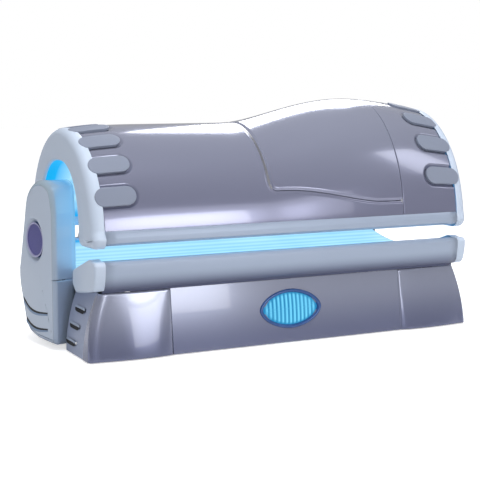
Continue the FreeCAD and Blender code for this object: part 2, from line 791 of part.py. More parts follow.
def mains_gland():
    """The sleeve that the mains lead would pass through."""
    body = rod(V(0, rear_panel_y - 10.0, inlet_z), V(0, rear_panel_y + 22.0, inlet_z), inlet_radius)
    collar = rod(V(0, rear_panel_y + wall, inlet_z), V(0, rear_panel_y + wall + 6.0, inlet_z),
                 inlet_radius + 7.0)
    bore = rod(V(0, rear_panel_y - 20.0, inlet_z), V(0, rear_panel_y + 30.0, inlet_z), inlet_bore)
    return body.fuse(collar).cut(bore)


# ---------------------------------------------------------------- base frame and contents
def frame_posts():
    return (tube / 2.0 - frame_half, 0.0, frame_half - tube / 2.0)


def bench_supports():
    """Posts and arms that carry the bench rails over the frame."""
    half = tube / 2.0
    arm_low = bed_rail_low_z - bench_arm
    pieces = []
    for x in frame_posts():
        post = block(x - half, x + half, frame_front_y - half, frame_front_y + half,
                     frame_high_z + half, bed_rail_low_z)
        arm = block(x - half, x + half, rail_depth, frame_front_y + half, arm_low, bed_rail_low_z)
        rear_post = block(x - half, x + half, frame_rear_y - half, frame_rear_y + half,
                          frame_high_z + half, bed_rail_low_z)
        rear_arm = block(x - half, x + half, frame_rear_y - half, depth - rail_depth,
                         arm_low, bed_rail_low_z)
        pieces.extend([post.fuse(arm), rear_post.fuse(rear_arm)])
    return pieces


def panel_holders():
    """Blocks from the frame to the fascia, the rear panel and the pod."""
    half = stand_off / 2.0
    front = frame_front_y - tube / 2.0
    rear = frame_rear_y + tube / 2.0
    pieces = []
    for x in (-panel_hold_x, panel_hold_x):
        for z in (frame_low_z, frame_high_z):
            low = z - half
            high = z + half
            wedge = polygon(yz([(fascia_y(low) + wall, low), (front, low), (front, high),
                                (fascia_y(high) + wall, high)]))
            pieces.append(side_prism(wedge, x - half, x + half))
        pieces.append(block(x - half, x + half, rear, rear_panel_y, frame_high_z - half,
                            frame_high_z + half))
    for y in (pod_front_y + 110.0, pod_front_y + 310.0):
        pieces.append(block(-pod_inner_x, -frame_half, y, y + tube, frame_high_z - tube / 2.0,
                            frame_high_z + tube / 2.0))
    return pieces


def base_frame():
    """A welded frame of square tubes, with its posts, arms and blocks butted on."""
    half = tube / 2.0
    pieces = []
    for y in (frame_front_y, frame_rear_y):
        for z in (frame_low_z, frame_high_z):
            pieces.append(square_tube(V(-frame_half, y, z), V(frame_half, y, z)))
    for x in frame_posts():
        for z in (frame_low_z, frame_high_z):
            pieces.append(square_tube(V(x, frame_front_y + half, z), V(x, frame_rear_y - half, z)))
        for y in (frame_front_y, frame_rear_y):
            pieces.append(square_tube(V(x, y, frame_low_z + half), V(x, y, frame_high_z - half)))
    return group(pieces + bench_supports() + panel_holders())


def levelling_feet():
    feet = []
    for x in frame_posts():
        for y in (frame_front_y, frame_rear_y):
            pad = Part.makeCone(foot_radius, foot_radius - 8.0, foot_pad, V(x, y, 0.0))
            stud = rod(V(x, y, foot_pad), V(x, y, frame_low_z - tube / 2.0), foot_stud_radius)
            feet.append(pad.fuse(stud))
    return group(feet)


def fan_at(centre, axis):
    """A fan: its square frame with a spider and bearing, and its rotor, both about one axis."""
    square = fan_frame / 2.0
    frame = block(-square, square, -square, square, 0.0, fan_frame_depth)
    frame = frame.cut(Part.makeCylinder(fan_radius + fan_tip_gap, fan_frame_depth))
    spider = []
    for turn in (0.0, 120.0, 240.0):
        arm = block(fan_shaft_radius + 6.0, fan_radius + fan_tip_gap + 4.0, -5.0, 5.0, 0.0, 5.0)
        arm.rotate(V(0, 0, 0), V(0, 0, 1), turn)
        spider.append(arm)
    bearing = Part.makeCylinder(fan_shaft_radius + 8.0, 8.0).cut(
        Part.makeCylinder(fan_shaft_radius + fan_bearing_gap, 8.0))
    frame = frame.fuse(spider + [bearing])
    low = 8.0 + fan_end_gap
    shaft = Part.makeCylinder(fan_shaft_radius, low + 1.0)
    hub = Part.makeCylinder(fan_hub_radius, fan_depth, V(0, 0, low))
    blades = []
    for index in range(fan_blades):
        blade = block(fan_hub_radius - 3.0, fan_radius, -1.0, 1.0, -13.0, 13.0)
        blade.rotate(V(0, 0, 0), V(1, 0, 0), 52.0)
        blade.translate(V(0, 0, low + fan_depth / 2.0))
        blade.rotate(V(0, 0, 0), V(0, 0, 1), 360.0 * index / fan_blades)
        blades.append(blade)
    rotor = hub.fuse(blades + [shaft])
    turn = FreeCAD.Rotation(V(0, 0, 1), axis)
    place = FreeCAD.Placement(centre, turn)
    for shape in (frame, rotor):
        shape.Placement = place.multiply(shape.Placement)
    return frame, rotor


def ballasts():
    """Ballast blocks on one tray that lies on the frame's cross tubes."""
    floor = frame_low_z + tube / 2.0
    half = frame_half - tube / 2.0
    tray = block(-half, half, 215.0, 330.0, floor, floor + 3.0)
    count = 10
    pitch = 2.0 * (half - 155.0) / (count - 1)
    blocks = []
    for index in range(count):
        x = 155.0 - half + pitch * index
        blocks.append(block(x - 60.0, x + 60.0, 240.0, 300.0, floor + 2.0, floor + 63.0))
    return tray.fuse(blocks)


def control_box():
    floor = frame_low_z + tube / 2.0
    half = 260.0
    near = mid_y + 35.0
    far = mid_y + 235.0
    high = floor + 130.0
    body = block(-half, half, near, far, floor, high)
    body = body.cut(block(-half + sheet, half - sheet, near + sheet, far - sheet, floor + sheet, high))
    lid = block(-half - 8.0, half + 8.0, near - 8.0, far + 8.0, high, high + sheet)
    return body.fuse(lid)


def bench_lamp_places():
    span = math.asin((bench_half - 40.0) / bench_lamp_line)
    places = []
    for index in range(bench_lamps):
        angle = -span + 2.0 * span * index / (bench_lamps - 1)
        places.append((mid_y + bench_lamp_line * math.sin(angle),
                       bench_centre_z - bench_lamp_line * math.cos(angle)))
    return places


def lamp(y, z, x0, x1):
    """A glass tube; the holders close its ends."""
    tube_glass = rod(V(x0, y, z), V(x1, y, z), lamp_radius)
    return tube_glass.cut(rod(V(x0, y, z), V(x1, y, z), lamp_radius - lamp_glass))


def bench_lamp_group():
    return group([lamp(y, z, -lamp_half, lamp_half) for y, z in bench_lamp_places()])


def bench_holders():
    drop = bench_lamp_line - bench_radius - lamp_radius
    end_y = rail_depth + 16.0
    bars = []
    for side in (-1, 1):
        x0, x1 = sorted((side * lamp_half, side * (lamp_half + holder_width)))
        bars.append(bench_sheet(drop, lamp_radius + reflector_gap, end_y, depth - end_y, x0, x1))
    return group(bars)


# ---------------------------------------------------------------- canopy contents
def canopy_lamp_places():
    places = []
    a = tunnel_a + arch_lamp_offset
    b = tunnel_b + arch_lamp_offset
    for index in range(canopy_lamps):
        share = index / (canopy_lamps - 1)
        angle = math.radians(lamp_arc_margin + (180.0 - 2.0 * lamp_arc_margin) * share)
        places.append((mid_y - a * math.cos(angle), arch_z + b * math.sin(angle), index))
    return places


def canopy_lamp_group():
    lamps = []
    middle = range(canopy_lamps // 2 - 3, canopy_lamps // 2 + 3)
    for y, z, index in canopy_lamp_places():
        end = short_lamp_end if index in middle else lamp_half
        lamps.append(lamp(y, z, -lamp_half, end))
    return group(lamps)


def canopy_holders():
    """Curved bars that hold the lamps' ends, and a short one where the middle lamps stop."""
    outer = arch_reflector_offset
    thick = lamp_radius + reflector_gap
    bars = []
    for side in (-1, 1):
        x0, x1 = sorted((side * lamp_half, side * (lamp_half + holder_width)))
        bars.append(arch_sheet(tunnel_a + outer, tunnel_b + outer, thick, canopy_rail_top_z, x0, x1))
    short = arch_sheet(tunnel_a + outer, tunnel_b + outer, thick, canopy_rail_top_z,
                       short_lamp_end, short_lamp_end + holder_width)
    reach = facial_half + 42.0
    bars.append(short.common(block(0.0, body_half, mid_y - reach, mid_y + reach, arch_z, 2.0 * arch_z)))
    return group(bars)


def facial_box(margin, low, high):
    return block(facial_start + margin, facial_end - margin, mid_y - facial_half + margin,
                 mid_y + facial_half - margin, low, high)


def facial_window(margin):
    return facial_box(margin, arch_z + 200.0, arch_z + 700.0)


def facial_unit():
    """Three face lamps in their cups, under a housing that stands on the acrylic."""
    top = arch_z + tunnel_b
    roof = top + 126.0
    skin = 3.0
    housing = facial_box(0.0, top - 100.0, roof).cut(facial_box(skin, top - 101.0, roof - skin))
    under = arch_points(0.0, tunnel_a + acrylic, tunnel_b + acrylic, tunnel_low_z)
    tunnel = Part.Wire([spline(under), Part.makeLine(under[-1], under[0])])
    housing = housing.cut(side_prism(tunnel, facial_start - 10.0, facial_end + 10.0))
    lamps = []
    count = 3
    for index in range(count):
        x = facial_start + (facial_end - facial_start) * (index + 0.5) / count
        cup = Part.makeCone(66.0, 30.0, 80.0, V(x, mid_y, top + 20.0)).cut(
            Part.makeCone(64.0, 28.0, 77.0, V(x, mid_y, top + 20.0)))
        bulb = rod(V(x, mid_y - 47.0, top + 60.0), V(x, mid_y + 47.0, top + 60.0), 8.0)
        stem = rod(V(x, mid_y, top + 99.0), V(x, mid_y, roof - skin), 14.0)
        lamps.append(cup.fuse([bulb, stem]))
    return housing, group(lamps)


def canopy_frame():
    """Two end hoops, two long bars, and formers that carry the shell under its seams."""
    a = tunnel_a + arch_reflector_offset + hoop_gap
    b = tunnel_b + arch_reflector_offset + hoop_gap
    end_x = body_half - 20.0
    pieces = []
    for x in (-end_x, end_x - hoop):
        pieces.append(arch_sheet(a + hoop, b + hoop, hoop, canopy_rail_top_z, x, x + hoop))
    for x in (groove_x, panel_end_x + seam / 2.0):
        flange = shell_layer([x - former / 2.0, x + former / 2.0], shell_wall + former_fit, 8.0)
        web = side_prism(arch_wire(0.0, shell_width(x) - shell_wall - 4.0,
                                   shell_rise(x) - shell_wall - 4.0,
                                   shell_width(x) - shell_wall - 4.0 - a, canopy_rail_top_z), x - 2.0, x + 2.0)
        below = arch_points(0.0, a, b, canopy_rail_top_z)
        room = Part.Wire([spline(below), Part.makeLine(below[-1], below[0])])
        pieces.append(flange.fuse(web.cut(side_prism(room, x - 10.0, x + 10.0))))
    for angle in (38.0, 142.0):
        y = mid_y - (a + hoop / 2.0) * math.cos(math.radians(angle))
        z = arch_z + (b + hoop / 2.0) * math.sin(math.radians(angle))
        pieces.append(block(-end_x, end_x, y - hoop / 2.0, y + hoop / 2.0, z - hoop / 2.0, z + hoop / 2.0))
    return pieces[0].fuse(pieces[1:])


def control_panel():
    """The panel inside the canopy rail, and its three push buttons."""
    y0 = canopy_ledge_y
    z_mid = (canopy_ledge_z + tunnel_low_z) / 2.0
    floor = 3.0
    plate = block(panel_x - panel_width / 2.0, panel_x + panel_width / 2.0, y0, y0 + panel_depth,
                  z_mid - panel_height / 2.0, z_mid + panel_height / 2.0)
    buttons = []
    for index in range(len(button_names)):
        x = panel_x + (index - 1) * button_pitch
        well = rod(V(x, y0 + floor, z_mid), V(x, y0 + panel_depth + 1.0, z_mid),
                   button_radius + button_gap)
        plate = plate.cut(well)
        buttons.append(rod(V(x, y0 + floor + button_travel, z_mid),
                           V(x, y0 + panel_depth + button_proud, z_mid), button_radius))
    return plate, buttons


# ---------------------------------------------------------------- hinges and struts
def hinge_bracket(x):
    """Two ears on a foot that is bolted to the rear bed rail."""
    half = knuckle_width / 2.0
    foot_front = depth - rail_depth + 2.0
    foot_back = depth - 20.0
    ear_outline = yz([(foot_front, bed_rail_top_z), (foot_back, bed_rail_top_z),
                      (hinge_y + 13.0, hinge_z + 6.0), (hinge_y - 13.0, hinge_z - 7.0)])
    ears = []
    for x0 in (x - half - hinge_ear, x + half):
        knuckle = rod(V(x0, hinge_y, hinge_z), V(x0 + hinge_ear, hinge_y, hinge_z), hinge_knuckle)
        ears.append(knuckle.fuse(side_prism(polygon(ear_outline), x0, x0 + hinge_ear)))
    foot = block(x - half - hinge_ear, x + half + hinge_ear, foot_front, foot_back,
                 bed_rail_top_z, bed_rail_top_z + hinge_plate)
    bore = rod(V(x - 2.0 * half, hinge_y, hinge_z), V(x + 2.0 * half, hinge_y, hinge_z), hinge_pin_radius)
    return foot.fuse(ears).cut(bore)


def hinge_arm(x):
    """The canopy's knuckle under a plate that is bolted to the rear canopy rail."""
    half = knuckle_width / 2.0 - knuckle_gap
    plate_half = 24.0
    knuckle = rod(V(x - half, hinge_y, hinge_z), V(x + half, hinge_y, hinge_z), hinge_knuckle - 1.0)
    web = block(x - half, x + half, hinge_y - 7.0, hinge_y + 7.0, hinge_z, canopy_rail_low_z)
    plate = block(x - half, x + half, hinge_y - plate_half, hinge_y + plate_half,
                  canopy_rail_low_z - 4.0, canopy_rail_low_z)
    bore = rod(V(x - 2.0 * half, hinge_y, hinge_z), V(x + 2.0 * half, hinge_y, hinge_z),
               hinge_pin_radius + hinge_clearance)
    return knuckle.fuse([web, plate]).cut(bore)


def hinge_pin(x):
    half = knuckle_width / 2.0 + hinge_ear + 2.0
    return rod(V(x - half, hinge_y, hinge_z), V(x + half, hinge_y, hinge_z), hinge_pin_radius)


def strut_cylinder(foot, along):
    across = V(1, 0, 0)
    eye = rod(foot - across * 8.0, foot + across * 8.0, strut_tube_radius)
    shell = rod(foot + along * 8.0, foot + along * strut_tube_length, strut_tube_radius)
    pin_bore = rod(foot - across * 20.0, foot + across * 20.0, strut_pin_radius + strut_foot_clearance)
    rod_bore = rod(foot + along * 24.0, foot + along * (strut_tube_length + 5.0),
                   strut_rod_radius + rod_clearance)
    return eye.fuse(shell).cut(pin_bore).cut(rod_bore)


def strut_rod(foot, head, along):
    across = V(1, 0, 0)
    plunger = rod(foot + along * 40.0, head - along * 8.0, strut_rod_radius)
    eye = rod(head - across * strut_eye_half, head + across * strut_eye_half, strut_eye_radius)
    bore = rod(head - across * 20.0, head + across * 20.0, strut_pin_radius + strut_eye_clearance)
    return plunger.fuse(eye).cut(bore)


def strut_foot_bracket(side, foot):
    """A plate on the frame's end, an arm and the pin that the cylinder turns on."""
    x0, x1 = sorted((side * frame_half, side * (frame_half + 6.0)))
    plate = block(x0, x1, frame_rear_y - tube / 2.0, foot.y + 20.0, foot.z - 20.0, foot.z + 20.0)
    arm_end = strut_x - 14.0
    x0, x1 = sorted((side * frame_half, side * arm_end))
    arm = block(x0, x1, foot.y - 10.0, foot.y + 10.0, foot.z - 10.0, foot.z + 10.0)
    pin = rod(V(side * arm_end, foot.y, foot.z), foot + V(side * 12.0, 0, 0), strut_pin_radius)
    return plate.fuse([arm, pin])


def strut_head_bracket(side, head):
    """A boss inside the end ring, and the pin that the rod's eye hangs on."""
    wall_x = V(side * (cap_half - ring_skin), head.y, head.z)
    boss = rod(wall_x, head + V(side * (strut_eye_half + 1.0), 0, 0), strut_tube_radius)
    pin_end = head - V(side * (strut_eye_half + 6.0), 0, 0)
    pin = rod(wall_x, pin_end, strut_pin_radius)
    clip = rod(pin_end, head - V(side * (strut_eye_half + 2.0), 0, 0), 2.0 * strut_pin_radius)
    return boss.fuse([pin, clip])


def strut_set(side):
    foot = V(side * strut_x, strut_foot_y, strut_foot_z)
    head = V(side * strut_x, strut_head_y, strut_head_z)
    along = (head - foot).normalize()
    return (strut_cylinder(foot, along), strut_rod(foot, head, along),
            strut_foot_bracket(side, foot), strut_head_bracket(side, head))


# ---------------------------------------------------------------- blower pod
def pod_side_outline(inset):
    """The pod seen from the end: upright front, round top, tapering rear."""
    i = inset
    y = pod_front_y
    front_low = V(0, y + 8.0 + i, pod_bottom_z + i)
    front_top = V(0, y + 4.0 + i, 720.0)
    crown = [front_top, V(0, y + 24.0 + i, 806.0 - 0.3 * i), V(0, y + 52.0 + 0.5 * i, 852.0 - 0.8 * i),
             V(0, y + 131.0, pod_top_z - i), V(0, y + 222.0, pod_top_z - 12.0 - i),
             V(0, y + 328.0 - 0.7 * i, 792.0 - 0.7 * i)]
    back = [crown[-1], V(0, y + 385.0 - i, 641.0), V(0, y + 448.0 - i, 464.0), V(0, y + 482.0 - i, 386.0)]
    heel = [back[-1], V(0, y + 476.0 - i, 305.0), V(0, y + 429.0 - 0.9 * i, 204.0 + 0.3 * i),
            V(0, y + 373.0 - 0.8 * i, 97.0 + 0.5 * i), V(0, y + 317.0 - 0.5 * i, 52.0 + i)]
    toe = V(0, y + 212.0, pod_bottom_z + 4.0 + i)
    return Part.Wire([Part.makeLine(front_low, front_top), spline(crown), spline(back),
                      spline(heel), Part.makeLine(heel[-1], toe), Part.makeLine(toe, front_low)])


def pod_face_x(run):
    """The pod's outer face, seen from above, is an arc; run is the distance behind its front."""
    start = pod_corner
    rise = pod_reach - pod_front_x
    reach = pod_peak - start
    radius = (rise ** 2 + reach ** 2) / (2.0 * rise)
    return -pod_reach + radius - math.sqrt(radius ** 2 - (run - pod_peak) ** 2)


def pod_plan(inset):
    """The pod seen from above: a convex outer face and a slightly turned front."""
    i = inset
    y = pod_front_y
    inner = -pod_inner_x - i
    rear_run = 512.0
    turned = 36.0
    face = [V(pod_face_x(run) + i, y + run, 0) for run in (pod_corner, pod_peak / 2.0, rear_run)]
    front_start = V(-pod_front_x + pod_corner, y + i, 0)
    front_end = V(inner - 12.0, y + turned + i, 0)
    round_mid = V(-pod_front_x + 0.29 * pod_corner + 0.7 * i, y + 0.29 * pod_corner + 0.7 * i, 0)
    inner_top = V(inner, front_end.y + 10.0, 0)
    inner_rear = V(inner, y + rear_run, 0)
    return Part.Wire([Part.Arc(face[0], face[1], face[2]).toShape(), Part.makeLine(face[2], inner_rear),
                      Part.makeLine(inner_rear, inner_top), Part.makeLine(inner_top, front_end),
                      Part.makeLine(front_end, front_start),
                      Part.Arc(front_start, round_mid, face[0]).toShape()])


def pod_prism(inset):
    return side_prism(pod_side_outline(inset), -pod_reach - 50.0, -pod_inner_x + 50.0)


def pod_solid(inset):
    plan = Part.Face(pod_plan(inset)).extrude(V(0, 0, pod_top_z + 100.0))
    return plan.common(pod_prism(inset))


def pod_pieces():
    """The cover with its flat outer plate, and the cowl that wraps its upper half."""
    outside = pod_solid(0.0)
    inside = pod_solid(pod_wall)
    behind_plate = outside.copy()
    behind_plate.translate(V(pod_plate_depth, 0, 0))
    skin = outside.cut(behind_plate)
    low_y = pod_front_y - 100.0
    high_y = pod_front_y + 600.0
    lower = block(-pod_reach - 50.0, 0.0, low_y, high_y, 0.0, pod_seam_z)
    upper = block(-pod_reach - 50.0, 0.0, low_y, high_y, pod_seam_z + pod_joint, pod_top_z + 100.0)
    plate = skin.common(pod_prism(pod_plate_inset))
    pocket = skin.common(pod_prism(pod_plate_inset - pod_joint))
    cover = outside.common(lower).cut(inside).fuse(plate)
    cowl = outside.common(upper).cut(inside).cut(pocket)
    return cover, cowl, outside


def disc_place():
    turn = math.radians(disc_turn)
    outward = V(-math.cos(turn), -math.sin(turn), 0)
    centre = V(pod_face_x(disc_run) + disc_sunk, pod_front_y + disc_run, disc_z)
    return centre, outward


def dished_cover(cover, outside):
    """The cover with a conical dish round the inlet, carried on a wall of its own."""
    centre, outward = disc_place()
    floor = centre - outward * dish_depth
    throat_radius = disc_rim_radius + disc_rim_gap
    length = 2.0 * dish_depth
    dish_skin = Part.makeCone(throat_radius + dish_wall, throat_radius + dish_wall + dish_spread,
                              length, floor, outward)
    dish = Part.makeCone(throat_radius, throat_radius + dish_spread, length, floor, outward)
    throat = rod(floor - outward * 60.0, floor, throat_radius)
    return cover.fuse(dish_skin.common(outside)).cut(dish).cut(throat)


def grille_rim():
    """The serrated rim's tube, on a flange that is held against the dish from inside."""
    centre, outward = disc_place()
    flange_thick = 4.0
    floor = centre - outward * dish_depth
    back = floor - outward * flange_thick
    body = rod(back, centre - outward * disc_sunk, disc_rim_radius)
    flange = rod(back, floor, disc_rim_radius + 18.0)
    opening = rod(back - outward, centre + outward, disc_radius)
    return body.fuse(flange).cut(opening), back


def grille_disc():
    """The louvred disc: upright slots cut through a round plate."""
    centre, outward = disc_place()
    disc = rod(centre - outward * 16.0, centre - outward * 6.0, disc_radius)
    across = outward.cross(V(0, 0, 1)).normalize()
    pitch = 2.0 * disc_radius / (louvre_count + 1)
    margin = 9.0
    shortest = 15.0
    slot_width = 3.4
    for index in range(louvre_count):
        offset = (index - (louvre_count - 1) / 2.0) * pitch
        half = math.sqrt((disc_radius - margin) ** 2 - offset ** 2)
        if half < shortest:
            continue
        slot = Part.makeBox(40.0, slot_width, 2.0 * half, V(-20.0, -slot_width / 2.0, -half))
        slot.Placement = FreeCAD.Placement(centre + across * offset - outward * 10.0,
                                           FreeCAD.Rotation(V(1, 0, 0), outward))
        disc = disc.cut(slot)
    return disc


def curved_slots(cover):
    """Two curved vents low on the pod's outer face."""
    y = pod_front_y
    for drop in (0.0, 86.0):
        outer = [V(0, y + 82.0, 186.0 - drop), V(0, y + 212.0, 176.0 - drop),
                 V(0, y + 312.0, 204.0 - drop), V(0, y + 384.0 - 0.3 * drop, 262.0 - drop)]
        lower = [p - V(0, 0, 15.0) for p in outer]
        wire = Part.Wire([spline(outer), Part.makeLine(outer[-1], lower[-1]),
                          spline(list(reversed(lower))), Part.makeLine(lower[0], outer[0])])
        cover = cover.cut(side_prism(wire, -pod_reach - 50.0, -pod_front_x + 6.0))
    return cover


# ---------------------------------------------------------------- build every node
def build_base():
    save("base_frame", base_frame())
    save("levelling_feet", levelling_feet())
    save("front_fascia", front_fascia())
    panel = foot_panel()
    save("foot_panel_right", panel)
    save("foot_panel_left", mirrored(panel))
    save("side_panel_right", side_panel(depth - strut_bay))
    save("side_panel_left", mirrored(side_panel(pod_front_y - 8.0)))
    save("rear_panel", rear_panel())
    rail = hollow_rail(bed_rail_wire(0.0, rail_lip), bed_rail_wire(rail_wall), rail_half)
    save("bed_front_rail", rail)
    save("bed_rear_rail", turned_back(rail))
    cap = bed_end_cap()
    save("bed_end_cap_left", cap)
    save("bed_end_cap_right", mirrored(cap))
    edge = rail_depth
    save("bed_acrylic", bench_sheet(0.0, acrylic, edge, depth - edge, -rail_half, rail_half))
    save("bed_reflector", bench_sheet(bench_reflector_line - bench_radius, sheet, edge,
                                      depth - edge, -rail_half, rail_half))
    save("bed_lamps", bench_lamp_group())
    save("bed_lamp_holders", bench_holders())
    save("ballasts", ballasts())
    save("control_box", control_box())
    bezel, lens, lens_lamp = lens_pieces()
    save("lens_bezel", bezel)
    save("lens", lens)
    save("lens_lamp", lens_lamp)
    save("mains_gland", mains_gland())


def build_fans():
    housings = []
    for name, x in (("left", -base_fan_x), ("right", base_fan_x)):
        frame, rotor = fan_at(V(x, rear_panel_y - fan_frame_depth, base_fan_z), V(0, 1, 0))
        housings.append(frame)
        save("base_fan_rotor_" + name, rotor)
    outward = disc_place()[1]
    rim, rim_back = grille_rim()
    frame, rotor = fan_at(rim_back - outward * fan_frame_depth, outward)
    save("pod_grille_rim", rim)
    housings.append(frame)
    save("fan_housings", group(housings))
    save("pod_fan_rotor", rotor)


def build_pod():
    cover, cowl, outside = pod_pieces()
    save("pod_cover", curved_slots(dished_cover(cover, outside)))
    save("pod_cowl", cowl)
    save("pod_grille", grille_disc())


def build_canopy():
    foot_panel_shell, face_panel, head_panel = canopy_shell()
    save("shell_foot_panel", foot_panel_shell)
    save("shell_face_panel", face_panel)
    save("shell_head_panel", head_panel)
    save("end_ring_left", end_ring(-1))
    save("end_ring_right", end_ring(1))
    save("vent_tabs", group(vent_tabs(-1) + vent_tabs(1)))
    rail = hollow_rail(canopy_rail_wire(0.0), canopy_rail_wire(rail_wall), body_half)
    save("canopy_front_rail", rail)
    save("canopy_rear_rail", turned_back(rail))
    window = facial_window(facial_lap)
    skin = arch_sheet(tunnel_a + acrylic, tunnel_b + acrylic, acrylic, tunnel_low_z, -tunnel_half,
                      tunnel_half)
    save("canopy_acrylic", skin.cut(window))
    save("face_filter", skin.common(facial_window(facial_lap + panel_gap)))
    back = folded_sheet(tunnel_a + arch_reflector_offset + reflector_fold + sheet,
                        tunnel_b + arch_reflector_offset + reflector_fold + sheet, sheet,
                        canopy_rail_top_z, -body_half + 4.0, body_half - 4.0, canopy_lamps + 2)
    save("canopy_reflector", back.cut(facial_window(-panel_gap)))
    save("canopy_lamps", canopy_lamp_group())
    save("canopy_lamp_holders", canopy_holders())
    save("end_linings", group([end_lining(-1), end_lining(1)]))
    housing, lamps = facial_unit()
    save("face_lamp_housing", housing)
    save("face_lamps", lamps)
    save("canopy_frame", canopy_frame())
    plate, buttons = control_panel()
    save("control_panel", plate)
    for name, button in zip(button_names, buttons):
        save(name + "_button", button)


def build_hinges():
    save("hinge_brackets", group([hinge_bracket(x) for x in hinge_places]))
    save("hinge_arms", group([hinge_arm(x) for x in hinge_places]))
    save("hinge_pins", group([hinge_pin(x) for x in hinge_places]))
    feet = []
    heads = []
    for name, side in (("left", -1), ("right", 1)):
        cylinder, plunger, foot_bracket, head_bracket = strut_set(side)
        save("strut_cylinder_" + name, cylinder)
        save("strut_rod_" + name, plunger)
        feet.append(foot_bracket)
        heads.append(head_bracket)
    save("strut_foot_brackets", group(feet))
    save("strut_head_brackets", group(heads))


build_base()
build_fans()
build_pod()
build_canopy()
build_hinges()
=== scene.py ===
# %% [markdown]
# # A clamshell tanning bed, dressed for its picture
#
# The construction of the bed comes in as a finished frame: rails, panels, lamps, hinges and
# struts, each one where it belongs.  This lesson dresses that frame.  Big visible mouldings
# are modelled again as fine smooth meshes, and every other piece gets its real finish.
#
# The first cell loads the frame.

# %% Load the frame
import json
import math
import bpy
import bmesh
from mathutils import Matrix, Vector
from mathutils.kdtree import KDTree


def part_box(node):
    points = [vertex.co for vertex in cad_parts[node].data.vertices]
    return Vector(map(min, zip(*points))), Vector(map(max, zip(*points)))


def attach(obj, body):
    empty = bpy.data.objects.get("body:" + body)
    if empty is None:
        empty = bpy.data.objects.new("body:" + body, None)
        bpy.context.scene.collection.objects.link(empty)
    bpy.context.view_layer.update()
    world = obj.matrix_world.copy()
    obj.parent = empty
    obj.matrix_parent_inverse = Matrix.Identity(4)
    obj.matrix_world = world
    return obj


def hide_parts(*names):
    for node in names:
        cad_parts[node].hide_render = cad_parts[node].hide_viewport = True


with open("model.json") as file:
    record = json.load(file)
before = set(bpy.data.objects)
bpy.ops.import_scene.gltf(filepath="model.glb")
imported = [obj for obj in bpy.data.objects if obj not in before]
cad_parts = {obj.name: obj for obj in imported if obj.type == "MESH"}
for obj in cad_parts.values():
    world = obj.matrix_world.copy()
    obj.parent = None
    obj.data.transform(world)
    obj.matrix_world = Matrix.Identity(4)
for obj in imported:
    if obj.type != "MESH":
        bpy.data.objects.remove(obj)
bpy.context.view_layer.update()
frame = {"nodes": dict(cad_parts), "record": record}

# %% [markdown]
# ## Bed coordinates
#
# A maker measures this bed from three lines: along it from the middle of the rails, back
# from the front face of the front rail, and up from the floor.  We work in those
# millimetres and turn them into frame metres in one helper.  The three lines are read from
# the frame, so the rails, the shell and the rings follow it if the bed is made longer or
# deeper.

# %% Places read from the frame
MM = 0.001
rail_low, rail_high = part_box("bed_front_rail")
mid_x = (rail_low.x + rail_high.x) / 2
front_y = rail_low.y
depth = (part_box("bed_rear_rail")[1].y - front_y) / MM
mid_d = depth / 2
rail_half = (rail_high.x - mid_x) / MM
body_half = (mid_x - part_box("shell_foot_panel")[0].x) / MM
cap_half = (mid_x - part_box("end_ring_left")[0].x) / MM


def bed(x, d, z):
    """A place in bed millimetres, as a point of the frame."""
    return Vector((mid_x + x * MM, front_y + d * MM, z * MM))


print("rails", round(2 * rail_half), "mm long, bed", round(depth), "mm deep")

# %% [markdown]
# ## The camera
#
# A long lens from a good distance keeps the ends of a 2.4 m bed from ballooning, which is
# how furniture is usually shown.  The camera stands in front of the foot end, a little
# above the canopy, and looks slightly down.

# %% Camera
camera_place = Vector((-3.0695, -6.016, 1.378))
camera_yaw = 0.470
camera_pitch = 0.1291
camera_lens = 89.98

camera_data = bpy.data.cameras.new("camera")
camera_data.lens = camera_lens
camera_data.sensor_width = 36.0
camera = bpy.data.objects.new("camera", camera_data)
camera.location = camera_place
camera.rotation_euler = (math.pi / 2 - camera_pitch, 0.0, -camera_yaw)
bpy.context.scene.collection.objects.link(camera)
bpy.context.scene.camera = camera
print("camera stands", round(camera_place.length, 2), "m from the middle of the frame's floor")

# %% [markdown]
# ## Studio light
#
# Lacquered panels are only as good as what they mirror.  Two soft boxes in front, one low,
# give the pale bands, and a wide faint one behind them softens their rims.  A box high at
# the back and one high at the side draw the highlights along the crown.  The sixth hangs
# overhead: it only fills, and nothing mirrors it.  The world is a plain pale grey for
# diffuse light and white for the camera.  Mirror rays and glass rays see a darker room, a
# little deeper at its ceiling than at its horizon, so that the lacquer has something to
# fade to.

# %% World
world = bpy.data.worlds.new("studio")
bpy.context.scene.world = world
world.use_nodes = True
tree = world.node_tree
tree.nodes.clear()
light_level = 0.62
ceiling_grey, ceiling_at = 0.30, 0.62
horizon_grey, horizon_at = 0.36, 0.10
forward_tilt = -0.35


def link(tree, source, target):
    tree.links.new(source, target)


def math_node(tree, operation, first, second=None):
    """A math node whose inputs are sockets or numbers; gives its output."""
    node = tree.nodes.new("ShaderNodeMath")
    node.operation = operation
    for socket, value in zip(node.inputs, (first, second)):
        if value is None:
            continue
        if isinstance(value, (int, float)):
            socket.default_value = value
        else:
            link(tree, value, socket)
    return node.outputs[0]


